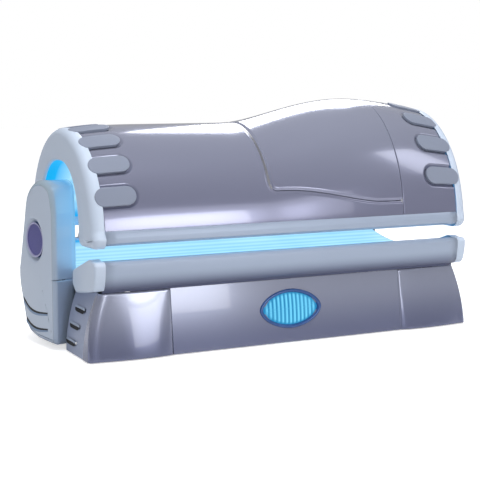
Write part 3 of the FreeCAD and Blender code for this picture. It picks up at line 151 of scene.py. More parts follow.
path = tree.nodes.new("ShaderNodeLightPath")
direction = tree.nodes.new("ShaderNodeTexCoord").outputs["Generated"]
split = tree.nodes.new("ShaderNodeSeparateXYZ")
link(tree, direction, split.inputs[0])
ceiling = tree.nodes.new("ShaderNodeValToRGB")
ceiling.color_ramp.elements[0].position = horizon_at
ceiling.color_ramp.elements[0].color = (horizon_grey, horizon_grey, horizon_grey * 1.03, 1.0)
ceiling.color_ramp.elements[1].position = ceiling_at
ceiling.color_ramp.elements[1].color = (ceiling_grey, ceiling_grey, ceiling_grey * 1.08, 1.0)
forward_lift = math_node(tree, "MULTIPLY", split.outputs["Y"], forward_tilt)
link(tree, math_node(tree, "ADD", split.outputs["Z"], forward_lift), ceiling.inputs[0])
mirror_mix = tree.nodes.new("ShaderNodeMix")
mirror_mix.data_type = "RGBA"
camera_mix = tree.nodes.new("ShaderNodeMix")
camera_mix.data_type = "RGBA"
seen = math_node(tree, "MAXIMUM", path.outputs["Is Glossy Ray"], path.outputs["Is Transmission Ray"])
link(tree, seen, mirror_mix.inputs["Factor"])
mirror_mix.inputs[6].default_value = (light_level, light_level, light_level * 1.02, 1.0)
link(tree, ceiling.outputs[0], mirror_mix.inputs[7])
link(tree, path.outputs["Is Camera Ray"], camera_mix.inputs["Factor"])
link(tree, mirror_mix.outputs[2], camera_mix.inputs[6])
camera_mix.inputs[7].default_value = (1.0, 1.0, 1.0, 1.0)
background = tree.nodes.new("ShaderNodeBackground")
link(tree, camera_mix.outputs[2], background.inputs[0])
world_out = tree.nodes.new("ShaderNodeOutputWorld")
link(tree, background.outputs[0], world_out.inputs[0])
bpy.context.scene.view_settings.view_transform = "Standard"
print("world light", light_level, "ceiling", ceiling_grey)

# %% Soft boxes


def soft_box(name, place, target, width, height, power):
    """A rectangular area lamp that faces a point."""
    lamp = bpy.data.lights.new(name, "AREA")
    lamp.shape = "RECTANGLE"
    lamp.size = width
    lamp.size_y = height
    lamp.energy = power
    holder = bpy.data.objects.new(name, lamp)
    holder.location = place
    holder.rotation_euler = (Vector(target) - Vector(place)).to_track_quat("-Z", "Y").to_euler()
    bpy.context.scene.collection.objects.link(holder)
    return holder


soft_box("front_box", (1.2, -4.6, 1.42), (0.0, 0.0, 0.75), 1.35, 0.95, 15.5)
soft_box("low_box", (1.05, -4.6, 0.60), (1.05, 0.0, 0.60), 1.3, 0.52, 6.0)
soft_box("halo_box", (1.5, -5.2, 1.85), (1.5, 0.0, 1.6), 3.6, 1.7, 15.0)
top_box = soft_box("top_box", (-0.6, -1.6, 4.2), (0.0, 0.0, 0.8), 3.2, 1.6, 110.0)
top_box.visible_glossy = False
soft_box("rear_box", (2.55, 3.3, 4.0), (0.2, 0.0, 1.1), 2.2, 2.8, 105.0)
soft_box("side_box", (3.9, -3.0, 3.6), (0.85, 0.1, 1.0), 1.0, 1.6, 9.0)
print("six soft boxes; the top one lights the bed but isn't mirrored in it")

# %% [markdown]
# ## The floor
#
# One large pale sheet.  It is lifted to white for the camera by a little light of its own,
# and it still takes the soft shadow under the bed, which is what makes it look its 277 kg.

# %% Floor
floor_half = 30.0
floor_glow = 0.60
floor_mesh = bpy.data.meshes.new("floor")
corners = [(-floor_half, -floor_half, 0), (floor_half, -floor_half, 0),
           (floor_half, floor_half, 0), (-floor_half, floor_half, 0)]
floor_mesh.from_pydata(corners, [], [(0, 1, 2, 3)])
floor = bpy.data.objects.new("floor", floor_mesh)
bpy.context.scene.collection.objects.link(floor)
floor_mat = bpy.data.materials.new("floor_sheet")
floor_mat.use_nodes = True
floor_tree = floor_mat.node_tree
floor_shader = floor_tree.nodes["Principled BSDF"]
floor_shader.inputs["Base Color"].default_value = (0.80, 0.80, 0.80, 1.0)
floor_shader.inputs["Roughness"].default_value = 0.9
floor_path = floor_tree.nodes.new("ShaderNodeLightPath")
floor_lift = math_node(floor_tree, "MULTIPLY", floor_path.outputs["Is Camera Ray"], floor_glow)
floor_grey = floor_tree.nodes.new("ShaderNodeCombineColor")
for channel in floor_grey.inputs:
    link(floor_tree, floor_lift, channel)
link(floor_tree, floor_grey.outputs[0], floor_shader.inputs["Emission Color"])
floor_shader.inputs["Emission Strength"].default_value = 1.0
floor_mesh.materials.append(floor_mat)
print("floor", 2 * floor_half, "m wide")

# %% [markdown]
# ## Shared effects
#
# Several finishes on the bed share the same small effects: a fine moulded grain, mica
# flakes in a lacquer, dust that settles on what faces up, rubbed edges, and painted shade,
# a colour that deepens from top to bottom.  Each one is a node group, built once, with named inputs.
# A group gives out colours, masks and heights only, so any material can use it in its own way.

# %% Making a node group


def effect_group(name, inputs, outputs):
    """An empty node group with named inputs and outputs: (name, kind, default)."""
    group = bpy.data.node_groups.new(name, "ShaderNodeTree")
    for label, kind, default in inputs:
        socket = group.interface.new_socket(label, in_out="INPUT", socket_type="NodeSocket" + kind)
        socket.default_value = default
    for label, kind in outputs:
        group.interface.new_socket(label, in_out="OUTPUT", socket_type="NodeSocket" + kind)
    inlet = group.nodes.new("NodeGroupInput")
    outlet = group.nodes.new("NodeGroupOutput")
    return group, inlet, outlet


def noise_node(tree, scale, detail=3.0, vector=None):
    node = tree.nodes.new("ShaderNodeTexNoise")
    node.inputs["Detail"].default_value = detail
    if isinstance(scale, (int, float)):
        node.inputs["Scale"].default_value = scale
    else:
        link(tree, scale, node.inputs["Scale"])
    place = vector or tree.nodes.new("ShaderNodeTexCoord").outputs["Object"]
    link(tree, place, node.inputs["Vector"])
    return node


def ramp_node(tree, value, low, high, smooth=False):
    """Brings a value between low and high to 0..1."""
    node = tree.nodes.new("ShaderNodeMapRange")
    node.interpolation_type = "SMOOTHSTEP" if smooth else "LINEAR"
    for label, number in (("From Min", low), ("From Max", high)):
        if isinstance(number, (int, float)):
            node.inputs[label].default_value = number
        else:
            link(tree, number, node.inputs[label])
    link(tree, value, node.inputs["Value"])
    return node.outputs["Result"]


def mix_colour(tree, factor, first, second, blend="MIX"):
    """Mixes two colours, each a socket or four numbers."""
    node = tree.nodes.new("ShaderNodeMix")
    node.data_type = "RGBA"
    node.blend_type = blend
    sockets = (node.inputs["Factor"], node.inputs[6], node.inputs[7])
    for socket, value in zip(sockets, (factor, first, second)):
        if isinstance(value, bpy.types.NodeSocket):
            link(tree, value, socket)
        else:
            socket.default_value = value
    return node.outputs[2]


# %% Moulded grain
grain_group, inlet, outlet = effect_group(
    "moulded_grain", [("Scale", "Float", 900.0), ("Mottle", "Float", 0.1)],
    [("Height", "Float"), ("Mottling", "Float")])
fine = noise_node(grain_group, inlet.outputs["Scale"], 2.0).outputs["Fac"]
broad = noise_node(grain_group, 9.0, 4.0).outputs["Fac"]
centred = math_node(grain_group, "SUBTRACT", broad, 0.5)
link(grain_group, fine, outlet.inputs["Height"])
link(grain_group, math_node(grain_group, "MULTIPLY", centred, inlet.outputs["Mottle"]),
     outlet.inputs["Mottling"])

# %% Mica flakes
flake_group, inlet, outlet = effect_group(
    "mica_flakes", [("Colour", "Color", (0.5, 0.5, 0.5, 1.0)), ("Spread", "Float", 0.2),
                    ("Scale", "Float", 1400.0)], [("Colour", "Color"), ("Flake", "Float")])
cells = flake_group.nodes.new("ShaderNodeTexVoronoi")
link(flake_group, inlet.outputs["Scale"], cells.inputs["Scale"])
link(flake_group, flake_group.nodes.new("ShaderNodeTexCoord").outputs["Object"], cells.inputs["Vector"])
one = flake_group.nodes.new("ShaderNodeSeparateColor")
link(flake_group, cells.outputs["Color"], one.inputs[0])
swing = math_node(flake_group, "SUBTRACT", one.outputs[0], 0.5)
swing = math_node(flake_group, "MULTIPLY", swing, inlet.outputs["Spread"])
swing = math_node(flake_group, "ADD", swing, 1.0)
scaled = flake_group.nodes.new("ShaderNodeVectorMath")
scaled.operation = "SCALE"
link(flake_group, inlet.outputs["Colour"], scaled.inputs[0])
link(flake_group, swing, scaled.inputs["Scale"])
link(flake_group, scaled.outputs[0], outlet.inputs["Colour"])
link(flake_group, one.outputs[0], outlet.inputs["Flake"])

# %% Settled dust and rubbed edges
dust_group, inlet, outlet = effect_group(
    "settled_dust", [("Amount", "Float", 0.1)], [("Dust", "Float")])
normal = dust_group.nodes.new("ShaderNodeSeparateXYZ")
link(dust_group, dust_group.nodes.new("ShaderNodeTexCoord").outputs["Normal"], normal.inputs[0])
upward = ramp_node(dust_group, normal.outputs["Z"], 0.35, 1.0, True)
patchy = ramp_node(dust_group, noise_node(dust_group, 14.0, 5.0).outputs["Fac"], 0.35, 0.7)
dusty = math_node(dust_group, "MULTIPLY", upward, patchy)
link(dust_group, math_node(dust_group, "MULTIPLY", dusty, inlet.outputs["Amount"]), outlet.inputs["Dust"])

edge_group, inlet, outlet = effect_group(
    "rubbed_edges", [("Amount", "Float", 0.3)], [("Edge", "Float")])
pointed = edge_group.nodes.new("ShaderNodeNewGeometry").outputs["Pointiness"]
edge = ramp_node(edge_group, pointed, 0.52, 0.62, True)
link(edge_group, math_node(edge_group, "MULTIPLY", edge, inlet.outputs["Amount"]), outlet.inputs["Edge"])

# %% Painted shade: a colour that deepens downwards
painted_shade_group, inlet, outlet = effect_group(
    "painted_shade_by_height", [("Low", "Color", (0, 0, 0, 1)), ("High", "Color", (1, 1, 1, 1)),
                    ("Bottom", "Float", 0.0), ("Top", "Float", 1.0)], [("Colour", "Color")])
place = painted_shade_group.nodes.new("ShaderNodeSeparateXYZ")
link(painted_shade_group, painted_shade_group.nodes.new("ShaderNodeTexCoord").outputs["Object"], place.inputs[0])
share = ramp_node(painted_shade_group, place.outputs["Z"], inlet.outputs["Bottom"], inlet.outputs["Top"], True)
link(painted_shade_group, mix_colour(painted_shade_group, share, inlet.outputs["Low"], inlet.outputs["High"]),
     outlet.inputs["Colour"])
print("effects:", ", ".join(sorted(g.name for g in bpy.data.node_groups)))

# %% [markdown]
# ## Finishes
#
# A colour on screen is not the number a shader wants, so `shade` turns the one into the
# other.  `use` drops an effect into a material with that material's own values.  With
# these two, a finish is a short recipe: what it is made of, how rough, how clear its coat.

# %% Recipe helpers


def shade(red, green, blue, alpha=1.0):
    """Screen values from 0 to 1, as the linear colour a shader wants."""
    linear = [c / 12.92 if c <= 0.04045 else ((c + 0.055) / 1.055) ** 2.4 for c in (red, green, blue)]
    return (*linear, alpha)


def use(tree, group, **values):
    node = tree.nodes.new("ShaderNodeGroup")
    node.node_tree = group
    for label, value in values.items():
        socket = node.inputs[label]
        if isinstance(value, bpy.types.NodeSocket):
            link(tree, value, socket)
        else:
            socket.default_value = value
    return node


def finish_base(name, metallic=0.0, roughness=0.4, coat=0.0, coat_roughness=0.05, **rest):
    """A material with its Principled shader set; gives the material, its tree and the shader."""
    material = bpy.data.materials.new(name)
    material.use_nodes = True
    shader = material.node_tree.nodes["Principled BSDF"]
    shader.inputs["Metallic"].default_value = metallic
    shader.inputs["Roughness"].default_value = roughness
    shader.inputs["Coat Weight"].default_value = coat
    shader.inputs["Coat Roughness"].default_value = coat_roughness
    for label, value in rest.items():
        shader.inputs[label.replace("_", " ")].default_value = value
    return material, material.node_tree, shader


def bump_from(tree, shader, height, strength, distance=0.0004):
    node = tree.nodes.new("ShaderNodeBump")
    node.inputs["Strength"].default_value = strength
    node.inputs["Distance"].default_value = distance
    link(tree, height, node.inputs["Height"])
    link(tree, node.outputs[0], shader.inputs["Normal"])


def vary_roughness(tree, shader, mottling, dust, level):
    """Roughness that wanders a little and rises where dust lies."""
    value = math_node(tree, "ADD", mottling, level)
    link(tree, math_node(tree, "ADD", value, dust), shader.inputs["Roughness"])


# %% Lacquer, satin plastic and metal


def lacquer(name, high, low, bottom, top, metallic=0.55, roughness=0.17, spread=0.06):
    """Silver lacquer with fine flakes under a clear coat, with shade painted in: darker towards its lower
    edge.
    """
    material, tree, shader = finish_base(name, metallic, roughness, coat=1.0, coat_roughness=0.03)
    painted_fade = use(tree, painted_shade_group, Low=low, High=high, Bottom=bottom, Top=top)
    flakes = use(tree, flake_group, Colour=painted_fade.outputs["Colour"], Spread=spread, Scale=1500.0)
    grain = use(tree, grain_group, Scale=420.0, Mottle=0.02)
    dust = use(tree, dust_group, Amount=0.01)
    link(tree, flakes.outputs["Colour"], shader.inputs["Base Color"])
    vary_roughness(tree, shader, grain.outputs["Mottling"], dust.outputs["Dust"], roughness)
    bump_from(tree, shader, grain.outputs["Height"], 0.006, 0.0001)
    return material


def satin(name, colour, roughness=0.42, metallic=0.0, grain=700.0, bump=0.10, coat=0.0, edge=0.12,
          low=None, bottom=0.0, top=1.0, **rest):
    """Moulded or anodised satin surface: grain, faint mottling, dust and paler rubbed edges.

    With low set, shade is painted in: the colour deepens to low from the height top down to bottom.
    """
    material, tree, shader = finish_base(name, metallic, roughness, coat, **rest)
    texture = use(tree, grain_group, Scale=grain, Mottle=0.16)
    dust = use(tree, dust_group, Amount=0.10)
    edges = use(tree, edge_group, Amount=edge)
    paler = tuple(min(1.0, c * 1.5 + 0.04) for c in colour[:3]) + (1.0,)
    darker = tuple(c * 0.90 for c in colour[:3]) + (1.0,)
    mottled = math_node(tree, "ADD", texture.outputs["Mottling"], 0.5)
    body = mix_colour(tree, mottled, darker, tuple(min(1.0, c * 1.08) for c in colour[:3]) + (1.0,))
    worn = mix_colour(tree, edges.outputs["Edge"], body, paler)
    if low:
        share = tuple(dark / full for dark, full in zip(low, colour[:3])) + (1.0,)
        painted_fade = use(tree, painted_shade_group, Low=share, High=(1.0, 1.0, 1.0, 1.0), Bottom=bottom, Top=top)
        worn = mix_colour(tree, 1.0, worn, painted_fade.outputs["Colour"], "MULTIPLY")
    link(tree, worn, shader.inputs["Base Color"])
    vary_roughness(tree, shader, texture.outputs["Mottling"], dust.outputs["Dust"], roughness)
    bump_from(tree, shader, texture.outputs["Height"], bump)
    return material


def brushed(name, colour, roughness, along=(1.0, 60.0, 60.0), metallic=1.0):
    """Bare metal with brush marks: noise stretched along the brushing."""
    material, tree, shader = finish_base(name, metallic, roughness)
    stretch = tree.nodes.new("ShaderNodeMapping")
    stretch.inputs["Scale"].default_value = along
    link(tree, tree.nodes.new("ShaderNodeTexCoord").outputs["Object"], stretch.inputs["Vector"])
    marks = noise_node(tree, 22.0, 6.0, stretch.outputs[0]).outputs["Fac"]
    edges = use(tree, edge_group, Amount=0.25)
    darker = tuple(c * 0.72 for c in colour[:3]) + (1.0,)
    worn = mix_colour(tree, marks, darker, colour)
    link(tree, mix_colour(tree, edges.outputs["Edge"], worn, (0.9, 0.9, 0.92, 1.0)),
         shader.inputs["Base Color"])
    rough = math_node(tree, "MULTIPLY", marks, 0.24)
    link(tree, math_node(tree, "ADD", rough, roughness - 0.1), shader.inputs["Roughness"])
    bump_from(tree, shader, marks, 0.12, 0.0002)
    return material


# %% Things that glow


def glowing(name, low, high, attribute, base=(0.01, 0.06, 0.10, 1.0), boost=2.2, roughness=0.5):
    """Lit acrylic.  A painted mesh value from 0 to 1 mixes its two light colours.

    Light Path makes it throw more light on its neighbours than it shows to the camera.
    """
    material, tree, shader = finish_base(name, 0.0, roughness, coat=0.0, Specular_IOR_Level=0.12)
    value = tree.nodes.new("ShaderNodeAttribute")
    value.attribute_name = attribute
    cloud = noise_node(tree, 3.0, 2.0).outputs["Fac"]
    soft = math_node(tree, "MULTIPLY", math_node(tree, "SUBTRACT", cloud, 0.5), 0.35)
    share = math_node(tree, "ADD", value.outputs["Fac"], soft)
    light = mix_colour(tree, ramp_node(tree, share, 0.0, 1.0), low, high)
    seen = tree.nodes.new("ShaderNodeLightPath")
    thrown = tree.nodes.new("ShaderNodeVectorMath")
    thrown.operation = "SCALE"
    thrown.inputs["Scale"].default_value = boost
    link(tree, light, thrown.inputs[0])
    lit = mix_colour(tree, seen.outputs["Is Diffuse Ray"], light, thrown.outputs[0])
    shader.inputs["Base Color"].default_value = base
    link(tree, lit, shader.inputs["Emission Color"])
    shader.inputs["Emission Strength"].default_value = 1.0
    return material


print("recipes ready")

# %% [markdown]
# ## Mesh helpers
#
# Almost every moulding here is one of two kinds.  A *sheet* is a grid of points that we
# work out by formula, row by row: a canopy shell is one.  A *pillow* is a flat outline
# given thickness, with its edge rolled over by a quarter circle: an end ring is one.  Both
# keep nearly all their faces four-sided and even, so highlights run without a ripple.

# %% From points to an object


def to_object(name, points, faces, material, body, slot, merge=0.0):
    """A smooth mesh object with the given material, riding on a body; slot is not used."""
    mesh = bpy.data.meshes.new(name)
    mesh.from_pydata([tuple(p) for p in points], [], faces)
    if merge:
        work = bmesh.new()
        work.from_mesh(mesh)
        bmesh.ops.remove_doubles(work, verts=work.verts, dist=merge)
        bmesh.ops.recalc_face_normals(work, faces=work.faces)
        work.to_mesh(mesh)
        work.free()
    mesh.shade_smooth()
    mesh.materials.append(material)
    piece = bpy.data.objects.new(name, mesh)
    bpy.context.scene.collection.objects.link(piece)
    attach(piece, body)
    return piece


def grid_faces(rows, columns, start=0, around=False):
    """Quads of a grid stored row by row; around closes each row on itself."""
    faces = []
    last = columns if around else columns - 1
    for r in range(rows - 1):
        for c in range(last):
            a = start + r * columns + c
            b = start + r * columns + (c + 1) % columns
            faces.append((a, b, b + columns, a + columns))
    return faces


def from_rows(rows, around=False):
    """Points and faces of a grid that is given as rows of points."""
    return [p for row in rows for p in row], grid_faces(len(rows), len(rows[0]), around=around)


def join(*parts):
    """Several (points, faces) as one."""
    points, faces = [], []
    for more_points, more_faces in parts:
        start = len(points)
        points += more_points
        faces += [tuple(i + start for i in face) for face in more_faces]
    return points, faces


def paint(piece, name, values):
    """Stores a number per vertex under a name."""
    store = piece.data.attributes.new(name, "FLOAT", "POINT")
    store.data.foreach_set("value", values)


def thicken(piece, millimetres, offset=-1.0):
    """Gives a sheet its wall, inwards from the face we modelled."""
    wall = piece.modifiers.new("wall", "SOLIDIFY")
    wall.thickness = millimetres * MM
    wall.offset = offset


def spread(start, end, step):
    """Evenly spaced numbers from start to end, about step apart."""
    count = max(1, round(abs(end - start) / step))
    return [start + (end - start) * i / count for i in range(count + 1)]


def smooth_step(t):
    """Eases from 0 to 1, level at both ends."""
    t = min(1.0, max(0.0, t))
    return t * t * (3.0 - 2.0 * t)


def quarter(steps):
    """A quarter turn over an edge, as (share still to rise, share turned in) at each step."""
    turns = [0.5 * math.pi * step / steps for step in range(steps + 1)]
    return [(1.0 - math.sin(turn), 1.0 - math.cos(turn)) for turn in turns]


# %% Pillows


cap_border = 1.5


def offset_loop(outline, inset):
    """A closed 2-D outline moved inwards, point by point, by its own inset."""
    count = len(outline)
    area = sum(outline[i][0] * outline[(i + 1) % count][1] - outline[(i + 1) % count][0] * outline[i][1]
               for i in range(count))
    turn = 1.0 if area > 0 else -1.0
    moved = []
    for i, (u, v) in enumerate(outline):
        before = outline[i - 1]
        after = outline[(i + 1) % count]
        du, dv = after[0] - before[0], after[1] - before[1]
        length = math.hypot(du, dv) or 1.0
        amount = inset[i] if isinstance(inset, list) else inset
        moved.append((u - turn * dv / length * amount, v + turn * du / length * amount))
    return moved


def pillow(outline, back, face, radius, place, steps=6):
    """Points and faces of a slab whose outer edge is rolled; place(t, u, v) gives the point.

    t runs from back to face.  The cap is one many-sided face inside a narrow border.
    """
    toward = 1.0 if face > back else -1.0
    loops = [(back, 0.0)]
    loops += [(face - toward * radius * up, radius * over) for up, over in quarter(steps)]
    loops.append((face, radius + cap_border))
    points = []
    for t, inset in loops:
        points += [place(t, u, v) for u, v in offset_loop(outline, inset)]
    count = len(outline)
    faces = grid_faces(len(loops), count, around=True)
    faces.append(tuple(range(count * (len(loops) - 1), count * len(loops))))
    return points, faces


def arc_points(centre, radius, start, end, count):
    """Points on an arc in 2-D, angles in degrees."""
    turn = [math.radians(start + (end - start) * i / (count - 1)) for i in range(count)]
    return [(centre[0] + radius * math.cos(a), centre[1] + radius * math.sin(a)) for a in turn]


def rounded_outline(corners, radii, count=7):
    """A closed outline through corners, each rounded by an arc of its own radius."""
    outline = []
    total = len(corners)
    for i, (x, y) in enumerate(corners):
        back = Vector(corners[i - 1]) - Vector((x, y))
        ahead = Vector(corners[(i + 1) % total]) - Vector((x, y))
        if radii[i] <= 0.0:
            outline.append((x, y))
            continue
        half = back.angle(ahead) / 2.0
        reach = min(radii[i] / math.tan(half), 0.48 * back.length, 0.48 * ahead.length)
        bulge = reach * math.tan(half)
        middle = Vector((x, y)) + (back.normalized() + ahead.normalized()).normalized() * (
            bulge / math.sin(half))
        first = Vector((x, y)) + back.normalized() * reach - middle
        last = Vector((x, y)) + ahead.normalized() * reach - middle
        sweep = first.angle_signed(last)
        for k in range(count):
            spun = Matrix.Rotation(-sweep * k / (count - 1), 2) @ first
            outline.append(tuple(middle + spun))
    return outline


both_ends = ((-1, "left"), (1, "right"))
print("helpers ready")

# %% [markdown]
# ## The finishes of this bed
#
# The canopy and the front of the base are sprayed in one silver-lilac lacquer.  Rings, rails
# and caps are a pale blue-grey satin, so the eye reads them as a frame round the lacquer.
# The tabs are a darker, flatter grey.

# %% Colours
silver_high = shade(0.65, 0.67, 0.75)
# The two lower colours are painted shade: each lacquer is painted darker towards its lower edge.
silver_shade_low = shade(0.52, 0.53, 0.63)
fascia_shade_low = shade(0.42, 0.44, 0.56)
pale_satin = shade(0.75, 0.80, 0.87)
rail_satin = shade(0.63, 0.68, 0.76)
tab_grey = shade(0.50, 0.53, 0.60)
cyan_deep = shade(0.02, 0.66, 0.91)
cyan_pale = shade(0.76, 0.93, 1.0)

shell_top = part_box("shell_face_panel")[1].z
lacquer_shell = lacquer("silver_lacquer", silver_high, silver_shade_low, 0.66, shell_top)
lacquer_base = lacquer("silver_lacquer_base", silver_high, fascia_shade_low, 0.0, 0.34)
satin_ring = satin("satin_ring", pale_satin, 0.40, coat=0.12)
satin_rail = satin("satin_rail", rail_satin, 0.34, metallic=0.25, coat=0.2, Coat_Roughness=0.2)
# The bed rail is painted darker towards its lower edge: painted shade where it curves under.
bed_rail_shaded_paint = satin("bed_rail_painted_shade", rail_satin, 0.34, metallic=0.25, coat=0.2, Coat_Roughness=0.2,
                       low=shade(0.28, 0.30, 0.42), bottom=0.345, top=0.45)
satin_tab = satin("satin_tab", tab_grey, 0.46, grain=420.0, bump=0.22)
print("shell lacquer fades between 0.66 m and", round(shell_top, 3), "m")

# %% [markdown]
# ## The canopy's surface
#
# Seen from the end the shell is half an ellipse.  Along the bed its height changes: level
# over the sleeper's legs, then a long swell over the chest and head, then a fall to the
# head end.  One function gives the surface point for a place along the bed and an angle
# round the arch.  Panels, tabs and rings all ask it, so they can't drift apart.

# %% Shell formula
arch_z = 600.0
shell_inset = 25.0
shell_fuller = 16.0
shell_level = 566.0
shell_swell = 130.0
swell_peak = body_half - 460.0
fuller_run = 500.0
head_fall, head_power = 64.0, 1.7
foot_fall, foot_fall_run = 18.0, 300.0
swell_power = 1.5
swell_lead = 40.0
groove_x = -112.0
panel_end = 698.0
seam = 3.0
rail_top_z = 659.0


def raw_rise(x):
    """Height of the shell before easing: level, then the swell, then the fall."""
    start = groove_x - swell_lead
    if x < start:
        return shell_level - foot_fall * max(0.0, (foot_fall_run - body_half - x) / foot_fall_run) ** 2
    if x < swell_peak:
        share = (x - start) / (swell_peak - start)
        return shell_level + shell_swell * math.sin(0.5 * math.pi * share) ** swell_power
    fallen = (x - swell_peak) / (body_half - swell_peak)
    return shell_level + shell_swell - head_fall * fallen ** head_power


def rise(x):
    """Height of the shell over the arch's foot, eased so that no highlight shows a kink."""
    spans = (-60.0, -30.0, 0.0, 30.0, 60.0)
    return sum(raw_rise(x + s) for s in spans) / len(spans)


def half_width(x):
    """Half depth of the shell at its foot, a little fuller towards the head."""
    return mid_d - shell_inset + shell_fuller * smooth_step((x - groove_x) / fuller_run)


def shell_dz(x, angle, lift=0.0):
    """Distance back and height of a shell point; lift raises it square to the arch."""
    a, b = half_width(x), rise(x)
    across, up = math.cos(angle) / a, math.sin(angle) / b
    size = math.hypot(across, up)
    return (mid_d - a * math.cos(angle) - lift * across / size,
            arch_z + b * math.sin(angle) + lift * up / size)


def on_shell(x, angle, lift=0.0):
    d, z = shell_dz(x, angle, lift)
    return bed(x, d, z)


def foot_angle(x):
    """Angle round the arch at which the shell meets the rail's top."""
    return math.asin((rail_top_z - arch_z) / rise(x))


print("shell tops out at", round(arch_z + rise(swell_peak)), "mm")

# %% [markdown]
# ## Canopy shell: panels, groove and seats
#
# The shell is three vacuum-formed panels.  A soft channel follows the face panel's outline,
# and each end has eight seats pressed into it, one round every vent tab.  We get all of
# that from one idea: *lift*.  For any surface point we measure how far it is from the
# channel's line and from each tab, and sink it by a smooth amount.  Forming really works
# like that, because the hot sheet can only bend softly into the mould.

# %% Channel line
groove_corner = 46.0
wave = [(groove_x + groove_corner, 820.0), (70.0, 816.0), (230.0, 794.0), (380.0, 764.0),
        (520.0, 742.0), (panel_end, 738.0)]
channel_half = 21.0
channel_deep = 7.5


def wave_height(x):
    """Height of the face panel's lower edge: a quarter round, then an easy curve."""
    if x <= wave[0][0]:
        run = min(1.0, (wave[0][0] - x) / groove_corner)
        return wave[0][1] + groove_corner * (1.0 - math.sqrt(max(0.0, 1.0 - run * run)))
    k = max(i for i in range(len(wave) - 1) if wave[i][0] <= x)
    slope = [0.0]
    for i in range(1, len(wave) - 1):
        slope.append((wave[i + 1][1] - wave[i - 1][1]) / (wave[i + 1][0] - wave[i - 1][0]))
    slope.append(0.0)
    (x0, z0), (x1, z1) = wave[k], wave[k + 1]
    t = (x - x0) / (x1 - x0)
    run = x1 - x0
    return ((2 * t ** 3 - 3 * t ** 2 + 1) * z0 + (t ** 3 - 2 * t ** 2 + t) * run * slope[k]
            + (3 * t ** 2 - 2 * t ** 3) * z1 + (t ** 3 - t ** 2) * run * slope[k + 1])


def wave_angle(x):
    """Angle round the arch of the face panel's lower edge."""
    return math.asin(min(1.0, (wave_height(x) - arch_z) / rise(x)))


channel = []
for x in spread(groove_x, panel_end, 2.0):
    channel += [(x, wave_angle(x)), (x, math.pi - wave_angle(x))]
for share in spread(0.0, 600.0, 1.0):
    low_turn = wave_angle(groove_x)
    channel.append((groove_x, low_turn + (math.pi - 2.0 * low_turn) * share / 600.0))
channel_tree = KDTree(len(channel))
for index, (x, angle) in enumerate(channel):
    channel_tree.insert(on_shell(x, angle), index)
channel_tree.balance()
print("channel line of", len(channel), "points")

# %% Tab places and seats
tab_count = 8
tab_first = math.radians(24.0)
tab_step = (math.pi - 2.0 * tab_first) / (tab_count - 1)
tab_radius = 49.0
tab_outer = body_half + 36.0
tab_inner = tab_outer - 220.0
seat_wide = 19.0
seat_deep = 10.0
seat_flat = 5.0
panel_edge, panel_lip = 3.0, -9.0
edge_fade = 0.02

tab_lines = []
for side in (-1, 1):
    for index in range(tab_count):
        angle = tab_first + tab_step * index
        ends = [on_shell(side * x, angle) for x in (tab_inner + tab_radius, tab_outer - tab_radius)]
        tab_lines.append((side, angle, ends[0], ends[1]))


def seat_lift(place):
    """How far the seats sink a surface point: full depth near a tab, easing out."""
    deepest = 0.0
    for side, _, start, end in tab_lines:
        if (place.x - mid_x) * side < 0.0:
            continue
        along = end - start
        share = min(1.0, max(0.0, (place - start).dot(along) / along.length_squared))
        away = (place - start - along * share).length / MM - tab_radius
        if away < seat_wide:
            deepest = max(deepest, 1.0 - smooth_step((away - seat_flat) / (seat_wide - seat_flat)))
    return -seat_deep * deepest


def channel_lift(place):
    """How far the channel sinks a surface point: a cosine across its width."""
    away = channel_tree.find(place)[2] / MM
    if away >= channel_half:
        return 0.0
    return -channel_deep * 0.5 * (1.0 + math.cos(math.pi * away / channel_half))


def edge_lift(away):
    """The drop of a rounded panel edge at a distance from that edge."""
    if away >= panel_edge:
        return 0.0
    return -(panel_edge - math.sqrt(panel_edge ** 2 - (panel_edge - max(0.0, away)) ** 2))


def shell_grid(columns, low_turn, high_turn, shares, edges=(), ends=False, seats=False,
               channelled=False, edge_from=None):
    """Points and faces of a shell panel.

    columns are places along the bed; shares run from the panel's low edge, 0, to its far
    edge, 1.  edges are the places along the bed where the panel ends in a rounded, turned
    down edge, and ends turns the other two edges down.  edge_from(x) is the angle above
    which the edge is real; below it the panel simply goes on.
    """
    places = [(x, 0.0) for x in columns]
    if any(abs(columns[0] - edge) < 0.01 for edge in edges):
        places.insert(0, (columns[0], panel_lip))
    if any(abs(columns[-1] - edge) < 0.01 for edge in edges):
        places.append((columns[-1], panel_lip))
    rows = [(share, 0.0) for share in shares]
    if ends:
        rows = [(shares[0], panel_lip)] + rows + [(shares[-1], panel_lip)]
    points = []
    for x, extra in places:
        low, high = low_turn(x), high_turn(x)
        roll = sum(edge_lift(abs(x - edge)) for edge in edges) + extra
        for share, drop in rows:
            angle = low + (high - low) * share
            strength = 1.0
            if edge_from:
                above = min(angle, math.pi - angle) - edge_from(x)
                strength = smooth_step(above / edge_fade)
            lift = roll * strength + drop
            if ends:
                reach = (high - low) * rise(x)
                lift += edge_lift(share * reach) + edge_lift((1.0 - share) * reach)
            if channelled or seats:
                place = on_shell(x, angle)
                lift += channel_lift(place) if channelled else 0.0
                lift += seat_lift(place) if seats else 0.0
            points.append(on_shell(x, angle, lift))
    return points, grid_faces(len(places), len(rows))


def edge_steps(start, end, step, first=True, last=True):
    """Like spread, with close steps at the ends so that a rounded edge has room to turn."""
    close = (0.0, 0.5, 1.2, 2.0, 3.2)
    toward = 1.0 if end > start else -1.0
    inner = spread(start + toward * (5.0 if first else 0.0), end - toward * (5.0 if last else 0.0), step)
    head = [start + toward * c for c in close] if first else []
    tail = [end - toward * c for c in reversed(close)] if last else []
    return head + inner + tail


def whole_high(x):
    return math.pi - foot_angle(x)


print(len(tab_lines), "tab seats")

